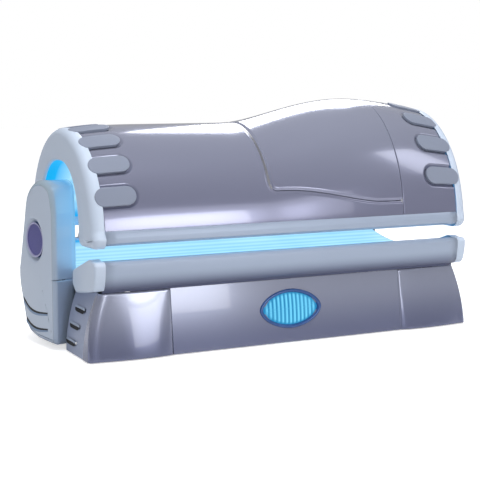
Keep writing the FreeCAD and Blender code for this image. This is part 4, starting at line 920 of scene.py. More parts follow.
# %% Foot panel
fine_end = tab_inner - 24.0
fine_rows = [i / 340.0 for i in range(341)]
gap = seam / 2.0


def skirt_high(x):
    """Angle of the front skirt's upper edge, half a seam under the face panel."""
    return wave_angle(max(x, groove_x)) - gap / rise(x)


def rear_skirt_low(x):
    """The same edge on the rear side."""
    return math.pi - skirt_high(x)


main_columns = edge_steps(-body_half, -fine_end, 4.5, last=False)
main_columns += spread(-fine_end, groove_x - 30.0, 12.0)[1:]
main_zone = shell_grid(main_columns, foot_angle, whole_high, fine_rows, edges=(-body_half,), seats=True)
channel_zone = shell_grid(edge_steps(groove_x - 30.0, groove_x - gap, 2.6, first=False), foot_angle,
                          whole_high, fine_rows, edges=(groove_x - gap,), channelled=True,
                          edge_from=lambda x: wave_angle(groove_x))
corner_columns = [groove_x + groove_corner * (1.0 - math.cos(math.radians(a))) for a in range(0, 91, 5)]
wave_columns = corner_columns + edge_steps(wave[0][0] + 6.0, panel_end, 7.0, first=False)
skirt_columns = [groove_x - gap] + wave_columns
skirt_rows = [i / 44.0 for i in range(45)]
front_skirt = shell_grid(skirt_columns, foot_angle, skirt_high, skirt_rows, edges=(panel_end,),
                         channelled=True)
rear_skirt = shell_grid(skirt_columns, rear_skirt_low, whole_high, skirt_rows, edges=(panel_end,),
                        channelled=True)
points, faces = join(main_zone, channel_zone, front_skirt, rear_skirt)
foot_part = to_object("shell_foot", points, faces, lacquer_shell, "canopy", "shell", merge=0.00002)
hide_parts("shell_foot_panel")
print("foot panel", len(foot_part.data.polygons), "faces")

# %% Face panel
face_reach = 1100.0
face_rows = [run / face_reach for run in edge_steps(0.0, face_reach, 9.0)]
band = [v / face_reach for v in (7.0, 9.0, 11.0, 13.0, 16.0, 19.0, 23.0)]
face_rows = sorted(set(face_rows + band + [1.0 - v for v in band]))
face_columns = [x for x in wave_columns if x > groove_x + 1.0]
face_columns = [groove_x + gap, groove_x + gap + 0.6] + [x for x in face_columns if x > groove_x + 3.0]
extra = [groove_x + v for v in (5.0, 7.5, 10.0, 12.5, 15.0, 17.5, 20.0, 23.0, 27.0, 32.0, 38.0)]
face_columns = sorted(set(face_columns + extra))


def face_low(x):
    """Angle of the face panel's front edge, half a seam over the channel's line."""
    return wave_angle(x) + gap / rise(x)


def face_high(x):
    return math.pi - face_low(x)


points, faces = shell_grid(face_columns, face_low, face_high, face_rows,
                           edges=(groove_x + gap, panel_end), ends=True, channelled=True)
face_part = to_object("shell_face", points, faces, lacquer_shell, "canopy", "shell")
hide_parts("shell_face_panel")
print("face panel", len(face_part.data.polygons), "faces")

# %% Head panel
head_start = panel_end + seam
head_columns = edge_steps(head_start, fine_end, 10.0, last=False)
head_columns += edge_steps(fine_end, body_half, 4.5, first=False)[1:]
points, faces = shell_grid(head_columns, foot_angle, whole_high, fine_rows,
                           edges=(head_start, body_half), seats=True)
head_part = to_object("shell_head", points, faces, lacquer_shell, "canopy", "shell")
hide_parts("shell_head_panel")
print("head panel", len(head_part.data.polygons), "faces")

# %% [markdown]
# ## Vent tabs
#
# Each tab is a pill-shaped lid that hides a vent.  It bends with the shell, so we draw the
# pill flat, as rings that shrink towards its middle line, and lay every ring on the shell.
# The rim turns down through a small quarter circle.

# %% Sixteen tabs


def pill(radius, half, count=12):
    """Points round a pill of that radius; half is half the length of its straight sides."""
    straight = spread(half, -half, 12.0)[1:-1]
    outline = arc_points((half, 0.0), radius, -90.0, 90.0, count)
    outline += [(u, radius) for u in straight]
    outline += arc_points((-half, 0.0), radius, 90.0, 270.0, count)
    outline += [(u, -radius) for u in reversed(straight)]
    return outline


def tab_mesh(side, angle, top=9.0, turn=3.0, skirt=16.0):
    """One tab: skirt, rounded rim, then rings closing in on its middle line."""
    middle = (tab_inner + tab_outer) / 2.0
    half = (tab_outer - tab_inner) / 2.0 - tab_radius
    radius_here = math.hypot(half_width(side * middle) * math.sin(angle),
                             rise(side * middle) * math.cos(angle))
    loops = [(tab_radius, top - skirt)]
    loops += [(tab_radius - turn * over, top - turn * up) for up, over in quarter(5)]
    loops += [(tab_radius * share, top) for share in (0.9, 0.75, 0.55, 0.35, 0.15, 0.02)]
    rows = [[on_shell(side * (middle + u), angle + v / radius_here, lift) for u, v in pill(radius, half)]
            for radius, lift in loops]
    points, faces = from_rows(rows, around=True)
    faces.append(tuple(range(len(points) - len(rows[0]), len(points))))
    return points, faces


tabs = join(*[tab_mesh(side, angle) for side, angle, *_ in tab_lines])
tab_part = to_object("vent_tab_lids", *tabs, satin_tab, "canopy", "tabs", merge=0.00002)
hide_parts("vent_tabs")
print("tabs", len(tab_part.data.polygons), "faces")

# %% [markdown]
# ## End rings
#
# An end ring is the frame round the tunnel's mouth: a wide arch with a soft outer shoulder
# and two feet that continue the long rails.  Its opening isn't quite a half circle, it is
# squarer, a so-called superellipse, which gives the sleeper more elbow room.  We draw two
# outlines, the outside and the opening, and join them station by station, like the ribs of
# a boat.  Every rib turns over the shoulder, crosses the flat face and turns into the hole.

# %% Ring outlines
ring_bottom = 570.0
ring_rear_low = 586.0
hole_a, hole_b, hole_power = 310.0, 383.0, 2.4
hole_mid = mid_d + 20.0
hole_low = 640.0
ring_over_shell = 5.0
toe = 46.0
nose_round = 52.0
tail_round = 44.0
heel_round = 18.0
shoulder_foot, shoulder_arch, shoulder_run = 28.0, 43.0, 30.0
rear_foot_edge = 30.0
mouth_edge = 15.0
ring_run = 260
rear_low_run, front_low_run = 10, 18
foot_skip = 12


def hole_arch(grow, count=97):
    """The opening's arch from its front foot to its rear foot, as (d, z)."""
    a, b = hole_a + grow, hole_b + grow
    start = math.asin(((hole_low - arch_z) / b) ** (hole_power / 2.0))
    arch = []
    for i in range(count):
        angle = start + (math.pi - 2.0 * start) * i / (count - 1)
        across = math.copysign(abs(math.cos(angle)) ** (2.0 / hole_power), math.cos(angle))
        arch.append((hole_mid - a * across, arch_z + b * math.sin(angle) ** (2.0 / hole_power)))
    return arch


def along_line(points, count):
    """The same open line with evenly spaced points."""
    lengths = [0.0]
    for (u0, v0), (u1, v1) in zip(points, points[1:]):
        lengths.append(lengths[-1] + math.hypot(u1 - u0, v1 - v0))
    result, k = [], 0
    for i in range(count):
        want = lengths[-1] * i / (count - 1)
        while k < len(lengths) - 2 and lengths[k + 1] < want:
            k += 1
        t = (want - lengths[k]) / max(1e-9, lengths[k + 1] - lengths[k])
        (u0, v0), (u1, v1) = points[k], points[k + 1]
        result.append((u0 + (u1 - u0) * t, v0 + (v1 - v0) * t))
    return result


def ring_outline(x):
    """The whole outline of a ring, evenly spaced, and the edge radius wanted at each point."""
    low = foot_angle(x)
    arch = [shell_dz(x, low + (math.pi - 2.0 * low) * i / 160.0, ring_over_shell) for i in range(161)]
    nose = arc_points((nose_round, ring_bottom + nose_round), nose_round, 270.0, 180.0, 12)
    tail = arc_points((depth - tail_round, ring_rear_low + tail_round), tail_round, 0.0, -90.0, 12)
    hole = hole_arch(0.0)
    front_foot = arc_points((hole[0][0] - toe, ring_bottom + toe), toe, 0.0, -90.0, 14)
    rear_heel = arc_points((hole[-1][0] + heel_round, ring_rear_low + heel_round), heel_round,
                           270.0, 180.0, 6)
    outside = along_line(nose[1:] + arch + tail[:-3], ring_run)
    mouth = along_line(rear_heel[2:] + list(reversed(hole)) + front_foot[:-1], ring_run)
    rear_low = along_line([outside[-1], tail[-2], rear_heel[0], mouth[0]], rear_low_run + 2)[1:-1]
    front_low = along_line([mouth[-1], front_foot[-1], nose[0], outside[0]], front_low_run + 2)[1:-1]
    line = outside + rear_low + mouth + front_low
    fuller = shoulder_arch - shoulder_foot
    radii = [shoulder_foot + fuller * smooth_step(k / shoulder_run) for k in range(ring_run)]
    radii += [rear_foot_edge] * rear_low_run + [mouth_edge] * ring_run
    radii += [mouth_edge + (shoulder_foot - mouth_edge) * smooth_step(k / (front_low_run - 1))
              for k in range(front_low_run)]
    count = len(radii)
    eased = [sum(radii[(i + k) % count] for k in range(-7, 8)) / 15.0 for i in range(count)]
    return line, eased


def soft_slab(outline, radii, back, face, steps=12):
    """A ring's body along the bed; its edge radius changes from point to point.

    The face is a strip of quads between the arch and the mouth, with a fan at each foot.
    """
    toward = 1.0 if face > back else -1.0
    points = []
    for forward, inset in ((0.0, 2.0), (0.4, 0.6), (1.6, 0.0)):
        points += [bed(back + toward * forward, d, z) for d, z in offset_loop(outline, inset)]
    for up, over in quarter(steps):
        loop = offset_loop(outline, [r * over for r in radii])
        points += [bed(face - toward * r * up, d, z) for (d, z), r in zip(loop, radii)]
    count = len(outline)
    loops = steps + 4
    faces = grid_faces(loops, count, around=True)
    last = count * (loops - 1)
    mouth = ring_run + rear_low_run
    for k in range(foot_skip, ring_run - 1 - foot_skip):
        faces.append((last + k, last + k + 1, last + mouth + ring_run - 2 - k,
                      last + mouth + ring_run - 1 - k))
    rear = list(range(ring_run - 1 - foot_skip, mouth + foot_skip + 1))
    front = list(range(mouth + ring_run - 1 - foot_skip, count)) + list(range(foot_skip + 1))
    for foot in (rear, front):
        points.append(sum((points[last + k] for k in foot), Vector()) / len(foot))
        hub = len(points) - 1
        for k, after in zip(foot, foot[1:] + foot[:1]):
            faces.append((last + k, last + after, hub))
    return points, faces


for side, label in both_ends:
    outline, radii = ring_outline(side * body_half)
    points, faces = soft_slab(outline, radii, side * body_half, side * cap_half)
    ring = to_object("ring_" + label, points, faces, satin_ring, "canopy", "ring", merge=0.00001)
    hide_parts("end_ring_" + label)
print("rings", len(ring.data.polygons), "faces each")

# %% [markdown]
# ## Long rails
#
# The two front rails are aluminium extrusions with a satin skin, and between them runs the
# bright gap of the bed.  An extrusion is one section pulled along a line, so we only draw
# the section.  What makes it look like metal is that every corner carries a small radius.
# The bench rail also draws in below its nose, along a cubic, down to the base panels.

# %% Rail sections
rail_deep = 60.0
rail_step = 60.0


def pulled(section, x0, x1):
    """A section of (d, z) pulled along the bed, with its ends closed."""
    points, faces = from_rows([[bed(x, d, z) for d, z in section] for x in spread(x0, x1, rail_step)],
                              around=True)
    faces.append(tuple(reversed(range(len(section)))))
    faces.append(tuple(range(len(points) - len(section), len(points))))
    return points, faces


def turned(section):
    """The same section for the back of the bed."""
    return [(depth - d, z) for d, z in reversed(section)]


belly = [(7.0 + 9.4 * t * t + 13.6 * t ** 3, 415.0 - 51.0 * t) for t in (0.95, 0.8, 0.6, 0.4, 0.2)]
belly += [(7.0, 415.0), (3.9, 433.0), (1.6, 450.0)]
bed_section = rounded_outline(
    [(30.0, 364.0)] + belly + [(0.0, 470.0), (0.0, 493.0), (14.0, 508.0), (60.0, 508.0), (60.0, 346.0),
                               (57.0, 346.0), (57.0, 364.0)],
    [3.0] + [0.0] * len(belly) + [0.0, 7.0, 8.0, 1.5, 1.0, 1.0, 1.0])
canopy_section = rounded_outline(
    [(126.0, 606.0), (100.0, 586.0), (24.0, 586.0), (0.0, 600.0), (0.0, 628.0), (5.0, 648.0),
     (11.0, 659.0), (70.0, 659.0), (112.0, 640.0), (126.0, 640.0)],
    [3.0, 5.0, 9.0, 9.0, 8.0, 5.0, 2.5, 2.0, 2.0, 1.5])

for node_name, section, half, body in (
        ("bed_front_rail", bed_section, rail_half, "base"),
        ("bed_rear_rail", turned(bed_section), rail_half, "base"),
        ("canopy_front_rail", canopy_section, body_half, "canopy"),
        ("canopy_rear_rail", turned(canopy_section), body_half, "canopy")):
    rail = to_object(node_name + "_skin", *pulled(section, -half, half),
                     bed_rail_shaded_paint if body == "base" else satin_rail, body, "rail")
    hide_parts(node_name)
print("four rails of", len(bed_section), "and", len(canopy_section), "section points")

# %% [markdown]
# ## Bed end caps
#
# A moulded cap closes each end of the bench.  Its front horn carries the rail's shape round
# the corner, so the outline is the rail's own, with a soft edge of 14 mm.  From there
# a thin band follows the curve of the acrylic to the back.

# %% Horns and bands
bench_low = 405.0
bench_rise = 84.0
bench_half = mid_d - rail_deep
band_over, band_under = -6.0, 70.0
horn_edge = 14.0
bench_radius = (bench_half ** 2 + bench_rise ** 2) / (2.0 * bench_rise)


def bench_z(d, drop=0.0):
    """Height of the bench's curve at one depth; drop makes its radius larger, so it sinks."""
    radius = bench_radius + drop
    return bench_low + bench_radius - math.sqrt(radius ** 2 - (d - mid_d) ** 2)


def horn_line():
    """Outline of the horn from the side, drawn round from its low front corner."""
    low_front = [(30.0, 364.0), (14.5, 390.0), (8.0, 415.0), (2.6, 442.0)]
    corners = low_front + [(0.0, 470.0), (0.0, 493.0), (15.0, 509.0), (60.0, 509.0), (96.0, 517.0),
                           (326.0, 438.0), (342.0, 420.0), (342.0, 358.0), (296.0, 318.0), (150.0, 338.0)]
    radii = [17.0, 24.0, 60.0, 60.0, 60.0, 17.0, 17.0, 24.0, 60.0, 18.0, 18.0, 24.0, 30.0, 200.0]
    return rounded_outline(corners, radii, 6)


def band_line():
    """Outline of the thin band, from its front top corner along the curve and back."""
    places = spread(rail_deep - 10.0, depth - rail_deep + 10.0, 12.0)
    top = [(d, bench_z(d, band_over)) for d in places]
    low = [(d, bench_z(d, band_under)) for d in reversed(places)]
    return top + low


def slab(outline, back, face, radius, steps=8):
    """A pillow whose thickness runs along the bed."""
    return pillow(outline, back, face, radius, bed, steps)


for side, label in both_ends:
    horn = slab(horn_line(), side * rail_half, side * cap_half, horn_edge)
    band = slab(band_line(), side * (rail_half - 0.5), side * (rail_half + 7.0), 2.5, 4)
    plug = slab(turned(bed_section), side * rail_half, side * (rail_half + 7.0), 3.0, 4)
    cap = to_object("bed_cap_" + label, *join(horn, band, plug), satin_ring, "base", "ring", merge=0.00001)
    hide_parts("bed_end_cap_" + label)
print("two end caps; bench radius", round(bench_radius), "mm")

# %% More paints
# The pod's lacquer is painted paler and bluer towards its top: painted light.
pod_paint = lacquer("pod_lacquer", shade(0.66, 0.74, 0.80), shade(0.62, 0.68, 0.77), 0.20, 0.80,
                    metallic=0.25, roughness=0.42)
pod_trim_paint = satin("pod_trim", shade(0.72, 0.76, 0.84), 0.36, metallic=0.2, coat=0.25)
grille_paint = satin("grille_plastic", shade(0.38, 0.38, 0.62), 0.34, coat=0.2)
bezel_paint = satin("bezel_plastic", shade(0.18, 0.32, 0.55), 0.25, metallic=0.3, coat=0.6)
lens_glow = glowing("lens_glow", shade(0.08, 0.47, 0.68), shade(0.46, 0.84, 0.98), "rib", boost=1.2)
acrylic_glow = glowing("acrylic_glow", shade(0.05, 0.62, 0.87), shade(0.70, 0.90, 0.99), "lamp_line",
                       boost=2.3)
# The lining is no lamp: its glow is painted light, paler towards the acrylic.
lining_glow = glowing("lining_glow", cyan_deep, cyan_pale, "painted_glow", boost=1.6)
pod_plate_paint = satin("pod_plate", shade(0.72, 0.77, 0.84), 0.40, coat=0.15)
rim_shade_paint = satin("rim_side_painted_shade", shade(0.22, 0.23, 0.42), 0.5)
slot_lip_shade_paint = satin("slot_lip_painted_shade", shade(0.46, 0.56, 0.69), 0.4, coat=0.2)
rim_paint = satin("grille_rim", shade(0.66, 0.66, 0.80), 0.34, coat=0.3)
slot_shade_black = satin("slot_shade_black", shade(0.05, 0.06, 0.09), 0.6)
seam_black = satin("seam_black", shade(0.06, 0.08, 0.12), 0.5)
print("paints ready")

# %% [markdown]
# ## Blower pod
#
# The pod stands at the foot end.  Its outer face is an arc seen from above, and a plate
# follows that face, parted from the cowl by a joint you can put a card into.  We sweep one
# side outline: from the pod's inner wall out along its side, then over a soft shoulder to
# the plate's joint.

# %% Pod outline
pod_y = mid_d - 137.0
pod_inner = rail_half + 7.0
pod_front_x = pod_inner + 132.0
pod_reach = pod_inner + 174.2
pod_peak, pod_corner = 442.0, 22.0
pod_seam = 372.0


def curve_through(points, count):
    """A smooth open curve through points, evenly sampled between each pair."""
    result = []
    last = len(points) - 1
    for k in range(last):
        p0 = Vector(points[max(0, k - 1)])
        p1, p2 = Vector(points[k]), Vector(points[k + 1])
        p3 = Vector(points[min(last, k + 2)])
        for i in range(count):
            t = i / count
            result.append(tuple(0.5 * ((2 * p1) + (p2 - p0) * t + (2 * p0 - 5 * p1 + 4 * p2 - p3) * t * t
                                       + (3 * p1 - p0 - 3 * p2 + p3) * t ** 3)))
    return result + [tuple(points[-1])]


def pod_outline():
    """The pod seen from its end, as (run behind its front, height), closed."""
    crown = [(4.0, 720.0), (24.0, 806.0), (52.0, 852.0), (131.0, 880.0), (222.0, 868.0), (328.0, 792.0),
             (385.0, 641.0), (448.0, 464.0), (482.0, 386.0)]
    heel = [(482.0, 386.0), (476.0, 305.0), (429.0, 204.0), (373.0, 97.0), (317.0, 52.0)]
    line = [(8.0, 44.0), (7.0, 250.0), (5.5, 500.0)] + curve_through(crown, 8)[:-1]
    line += curve_through(heel, 8) + [(212.0, 34.0), (60.0, 30.0), (20.0, 30.0)]
    return line


front_back, turn_start, turn_run = 36.0, 20.0, 112.0
front_run = 60.0


def pod_face(run):
    """Distance of the pod's outer face from the bed's middle at a run behind its front."""
    rise_x = pod_reach - pod_front_x
    reach = pod_peak - pod_corner
    radius = (rise_x ** 2 + reach ** 2) / (2.0 * rise_x)
    run = max(pod_corner, run)
    return pod_reach - radius + math.sqrt(radius ** 2 - (run - pod_peak) ** 2)


def front_turn(inward):
    """How far the front has turned back, inward from the outer face."""
    return front_back * min(1.0, max(0.0, (inward - turn_start) / turn_run))


def resampled_loop(points, count):
    """A closed outline with evenly spaced points."""
    return along_line(list(points) + [points[0]], count + 1)[:-1]


pod_count = 300
outline = resampled_loop(pod_outline(), pod_count)
disc_at = (242.0, 560.0)
disc_radius, rim_radius, dish_edge = 84.0, 94.0, 124.0
dish_sink, dish_tilt = 27.0, 17.0


def pod_point(run, z, inward, sunk=0.0):
    """A pod point: run and height, distance inward from the curved outer face."""
    x = -(pod_face(run) - sunk) + inward
    return bed(x, pod_y + run, z)


print("pod outer face reaches", round(pod_reach), "mm from the middle")

# %% Cowl and cover shells
shoulder_round = 24.0
walls = [(shoulder_round * up, shoulder_round * over) for up, over in quarter(8)]


def skin_loops():
    """Loops from the inner wall, along the side, over the shoulder, to the plate's joint."""
    loops = []
    inner_x = -pod_inner
    for share in (0.0, 0.25, 0.5, 0.75, 1.0):
        loop = []
        for run, z in outline:
            edge = -(pod_face(run) - shoulder_round)
            x = inner_x + (edge - inner_x) * share
            inward = x + pod_face(run)
            front = max(0.0, 1.0 - run / front_run)
            loop.append(bed(x, pod_y + run + front_turn(inward) * front, z))
        loops.append(loop)
    for sunk, inset in walls[1:]:
        moved = offset_loop(outline, inset)
        loops.append([pod_point(run, z, sunk) for run, z in moved])
    return loops


def split_by_height(loops, keep_upper, level, gap_half):
    """Keeps the part of the skin over or under the seam and pulls its edge to the gap."""
    count = len(loops[0])
    points = [list(p) for loop in loops for p in loop]
    edge = (level + gap_half if keep_upper else level - gap_half) * MM
    faces = [face for face in grid_faces(len(loops), count, around=True)
             if (sum(points[i][2] for i in face) / 4.0 > level * MM) == keep_upper]
    for p in points:
        if keep_upper and p[2] < edge or not keep_upper and p[2] > edge:
            p[2] = edge
    return points, faces


def without_loose(name, points, faces, material, slot, body="base"):
    """Like to_object, but drops points that no face uses."""
    used = sorted({i for face in faces for i in face})
    place = {old: new for new, old in enumerate(used)}
    return to_object(name, [points[i] for i in used], [tuple(place[i] for i in f) for f in faces],
                     material, body, slot)


loops = skin_loops()
cowl = without_loose("pod_cowl_skin", *split_by_height(loops, True, pod_seam, 0.8), pod_paint, "pod_trim")
lower = without_loose("pod_lower_skin", *split_by_height(loops, False, pod_seam, 0.8), pod_paint, "pod")
thicken(cowl, 3.0)
thicken(lower, 3.0)
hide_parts("pod_cowl")
print("cowl", len(cowl.data.polygons), "and lower skin", len(lower.data.polygons), "faces")

# %% [markdown]
# ### The plate and its dish
#
# The plate starts 1.5 mm inside the cowl's shoulder and sinks smoothly to the louvred disc.
# Its rings run from that outline to the dish's circle, each a blend of the two.  That is
# the easy way to get from any outline to a circle without a crease.

# %% Plate
plate_joint = 1.5
plate_edge = offset_loop(outline, shoulder_round + plate_joint)
circle = []
for run, z in plate_edge:
    turn = math.atan2(z - disc_at[1], run - disc_at[0])
    circle.append((disc_at[0] + dish_edge * math.cos(turn), disc_at[1] + dish_edge * math.sin(turn)))
plate_loops = [[pod_point(run, z, 9.0) for run, z in plate_edge]]
for drop, inset in ((1.6, 0.0), (0.5, 0.5), (0.0, 1.8)):
    plate_loops.append([pod_point(run, z, drop) for run, z in offset_loop(plate_edge, inset)])
inner_edge = offset_loop(plate_edge, 4.0)
for share in (0.0, 0.12, 0.28, 0.46, 0.64, 0.82, 1.0):
    loop = []
    for (run, z), (cr, cz) in zip(inner_edge, circle):
        loop.append(pod_point(run + (cr - run) * share, z + (cz - z) * share, 0.0))
    plate_loops.append(loop)
for share in (0.08, 0.2, 0.35, 0.5, 0.65, 0.8, 0.9, 1.0):
    scale = 1.0 + ((rim_radius + 3.0) / dish_edge - 1.0) * share
    loop = []
    for cr, cz in circle:
        forward = (disc_at[0] - cr) / dish_edge
        sunk = (dish_sink + dish_tilt * forward) * smooth_step(share)
        loop.append(pod_point(disc_at[0] + (cr - disc_at[0]) * scale,
                              disc_at[1] + (cz - disc_at[1]) * scale, sunk))
    plate_loops.append(loop)
plate = to_object("pod_plate", *from_rows(plate_loops, around=True), pod_plate_paint, "base", "pod")
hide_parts("pod_cover")
print("plate", len(plate.data.polygons), "faces")

# %% [markdown]
# ### Louvred disc and serrated rim
#
# The inlet grille is a round plate with upright louvres inside a rim whose edge is finely
# notched, which gives a wet hand some grip.  The notches are just a radius that swings with
# the angle.

# %% Disc and rim
disc_turn = math.radians(11.0)
disc_sunk = 7.5
notches, notch_deep = 60, 1.8
outward = Vector((-math.cos(disc_turn), -math.sin(disc_turn), 0.0))
across = outward.cross(Vector((0.0, 0.0, 1.0))).normalized()
upright = Vector((0.0, 0.0, 1.0))
disc_middle = bed(-(pod_face(disc_at[0]) - disc_sunk), pod_y + disc_at[0], disc_at[1])


def on_disc(radius, turn, out):
    """A point about the disc's middle, turned round it and out from its face."""
    flat = across * (radius * math.cos(turn)) + upright * (radius * math.sin(turn))
    return disc_middle + (flat + outward * out) * MM


side_profile = [(rim_radius - 1.0, -46.0), (rim_radius - 1.0, -5.0), (rim_radius - 0.4, -1.6)]
rim_profile = [(rim_radius - 0.4, -1.6), (rim_radius - 2.4, 0.0), (rim_radius - 6.0, 0.3),
               (disc_radius + 2.0, -0.6), (disc_radius + 0.4, -2.4), (disc_radius + 0.4, -16.0)]
rim_steps = notches * 6


def notched(profile, notched_rows):
    """A ring swept from a profile of (radius, out); the first rows swing with the angle."""
    points = []
    for k, (radius, out) in enumerate(profile):
        for i in range(rim_steps):
            turn = 2.0 * math.pi * i / rim_steps
            notch = notch_deep * max(0.0, math.sin(notches * turn)) if k < notched_rows else 0.0
            points.append(on_disc(radius - notch, turn, out))
    return points, grid_faces(len(profile), rim_steps, around=True)


rim = to_object("grille_rim_notched", *notched(rim_profile, 2), rim_paint, "base", "pod_trim")
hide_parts("pod_grille_rim")
# The rim's side wall is painted dark: painted shade of the gap round the disc.
to_object("grille_rim_shaded_side", *notched(side_profile, 3), rim_shade_paint, "base", "pod_trim")

louvre_parts = []
louvres = 17
pitch = 2.0 * disc_radius / louvres
blade_open, blade_wide = 0.72, 0.86
blade = ((-0.46, -13.0), (-0.40, -7.6), (-0.2, -6.2), (0.1, -6.0), (0.34, -7.0), (0.42, -9.0),
         (0.44, -13.0))
for k in range(louvres):
    middle = (k - (louvres - 1) / 2.0) * pitch
    half = math.sqrt(max(4.0, (disc_radius - 1.0) ** 2 - (abs(middle) + 0.5 * pitch * blade_open) ** 2))
    louvre_parts.append(from_rows([
        [disc_middle + (across * (middle + u * pitch * blade_wide) + upright * v + outward * out) * MM
         for u, out in blade] for v in spread(-half, half, 8.0)]))
back_loops = ((disc_radius + 0.4, -12.5), (disc_radius * 0.6, -12.5), (2.0, -12.5))
ring_loops = ((disc_radius + 0.3, -10.0), (disc_radius + 0.3, -5.6), (disc_radius - 3.0, -5.2),
              (disc_radius - 4.0, -7.0), (disc_radius - 4.0, -12.0))
for profile, count in ((back_loops, 48), (ring_loops, 96)):
    louvre_parts.append(from_rows([[on_disc(radius, 2.0 * math.pi * i / count, out) for i in range(count)]
                                   for radius, out in profile], around=True))
disc = to_object("grille_disc_louvred", *join(*louvre_parts), grille_paint, "base", "grille")
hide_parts("pod_grille")
print("rim", len(rim.data.polygons), "disc", len(disc.data.polygons), "faces")

# %% Curved slots low on the pod
slot_lines = (((82.0, 192.0), (212.0, 181.0), (312.0, 193.0), (402.0, 232.0)),
              ((82.0, 106.0), (202.0, 94.0), (290.0, 103.0), (362.0, 130.0)))
slot_front = 0.45
slot_rows = ((0.2, -1.0), (0.8, 1.0), (0.8, 15.0), (0.5, 17.0))
lip_rows = ((0.5, 16.0), (1.4, 18.0), (1.5, 29.0), (1.0, 33.0), (-0.4, 36.0))


def along_slot(profile):
    """Both slots with one profile of (out, drop), narrowing toward their front ends."""
    parts = []
    for line in slot_lines:
        top = curve_through(line, 12)
        points = []
        for out, drop in profile:
            for k, (run, z) in enumerate(top):
                full = slot_front + (1.0 - slot_front) * k / (len(top) - 1)
                points.append(pod_point(run, z - drop * full, -out))
        parts.append((points, grid_faces(len(profile), len(top))))
    return join(*parts)


# Each slot is a dark strip laid on the pod: painted shade of its opening.
to_object("pod_slots", *along_slot(slot_rows), slot_shade_black, "base", "black")
# Under each slot the lip is painted darker than the pod: painted shade of the recess.
to_object("pod_slot_lips", *along_slot(lip_rows), slot_lip_shade_paint, "base", "pod")
print("two slots and their lips")

# %% [markdown]
# ## Base front
#
# Three panels make the front: a flat leaning one in the middle and a swelling one at each
# foot.  They meet at an upright crease.  A crease reads only if the two surfaces really
# meet at an angle, so each foot panel leaves the middle panel's plane at once and comes
# back round a soft corner.

# %% Fascia surfaces
fascia_top, panel_foot = 344.0, 6.0
fascia_foot_d, fascia_lean = 21.0, 41.0
flare_foot, flare_in, flare_run = 1155.0, 78.0, 360.0
crease_x, crease_gap = 695.0, 0.9
bulge_foot, bulge_loss, bulge_power = 19.0, 15.0, 1.4
corner_deep, corner_round = 26.0, 24.5
side_foot_d, side_lean = 116.0, 24.0
fold = 7.0
fascia_rows = spread(panel_foot, fascia_top, 14.0)


def fascia_d(z):
    """How far back the leaning middle panel is at one height."""
    return fascia_foot_d + fascia_lean * z / fascia_top


def flare(z):
    """Half length of the base at one height; it draws in towards the top."""
    return flare_foot - flare_in * (z / flare_run) ** 2


def foot_line(z):
    """Front of a foot panel at one height, from the crease to the outer edge."""
    base = fascia_d(z)
    bulge = bulge_foot - bulge_loss * (z / fascia_top) ** bulge_power
    corner_x = flare(z) - corner_deep
    line = []
    for step in range(29):
        share = step / 28.0
        x = crease_x + crease_gap + (corner_x - crease_x) * share
        swell = math.sin(math.pi * min(1.0, share * 1.08) ** 0.78)
        line.append((x, base - bulge * max(0.0, swell) ** 0.8))
    back = line[-1][1]
    for step in range(1, 9):
        turn = 0.5 * math.pi * step / 8
        line.append((corner_x + corner_round * math.sin(turn), back + corner_round * (1.0 - math.cos(turn))))
    return line


def side_front(z):
    """Where the side panel's leaning front edge is at one height."""
    return side_foot_d - side_lean * (z - panel_foot) / (fascia_top - panel_foot)


def front_panel(name, side, node):
    """One foot panel as a sheet of stations, with its rims folded back a few millimetres."""
    rows = []
    heights = [6.4, 6.4, 7.4] + fascia_rows[1:-1] + [fascia_top - 1.4, fascia_top - 0.6, fascia_top - 0.6]
    for k, z in enumerate(heights):
        lip = {0: fold, 1: 1.0, len(heights) - 1: fold, len(heights) - 2: 1.0}.get(k, 0.0)
        line = foot_line(z)
        first = line[0]
        row = [(first[0], first[1] + fold + lip), (first[0], first[1] + 1.0 + lip)]
        row += [(x, d + lip) for x, d in line]
        row += [(line[-1][0], side_front(z) - 4.0), (line[-1][0], side_front(z) + 0.8)]
        rows.append([bed(side * x, d, z) for x, d in row])
    piece = to_object(name, *from_rows(rows), lacquer_base, "base", "fascia")
    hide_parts(node)
    return piece


foot_left = front_panel("foot_left_skin", -1, "foot_panel_left")
front_panel("foot_right_skin", 1, "foot_panel_right")
print("foot panels", len(foot_left.data.polygons), "faces each")

# %% [markdown]
# ## Lens and bezel
#
# The lens is an almond with rounded ends, held by a thick painted bezel.  Both follow one
# outline, so we write it once: a flattened ellipse whose powers are a little under two
# gives the slight points without a corner.  The ribs are in the mesh, and an attribute tells the
# glow which parts stand up.

# %% Lens outline
almond_side, almond_top, almond_pull = 1.06, 1.16, 1.12
lean_back, lean_up = 0.993, 0.118
bezel_margin = 1.5
bezel_low, bezel_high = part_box("lens_bezel")
bezel_mid_x = ((bezel_low.x + bezel_high.x) / 2 - mid_x) / MM
bezel_half_x = (bezel_high.x - bezel_low.x) / 2 / MM - bezel_margin
bezel_mid_z = (bezel_low.z + bezel_high.z) / 2 / MM
bezel_half_z = (bezel_high.z - bezel_low.z) / 2 / MM - bezel_margin
almond_count = 168


def almond(inset):
    """Points of the lens outline, some millimetres inside the bezel's edge."""
    line = []
    for i in range(almond_count):
        turn = 2.0 * math.pi * i / almond_count
        c, s = math.cos(turn), math.sin(turn)
        x = math.copysign(abs(c) ** almond_side, c) * (bezel_half_x - inset * almond_pull)
        z = math.copysign(abs(s) ** almond_top, s) * (bezel_half_z - inset)
        line.append((x, z))
    return line


def on_front(x, z, out):
    """A point out from the leaning fascia, at x and height from the lens's middle."""
    height = bezel_mid_z + z
    return bed(bezel_mid_x + x, fascia_d(height) - out * lean_back, height + out * lean_up)


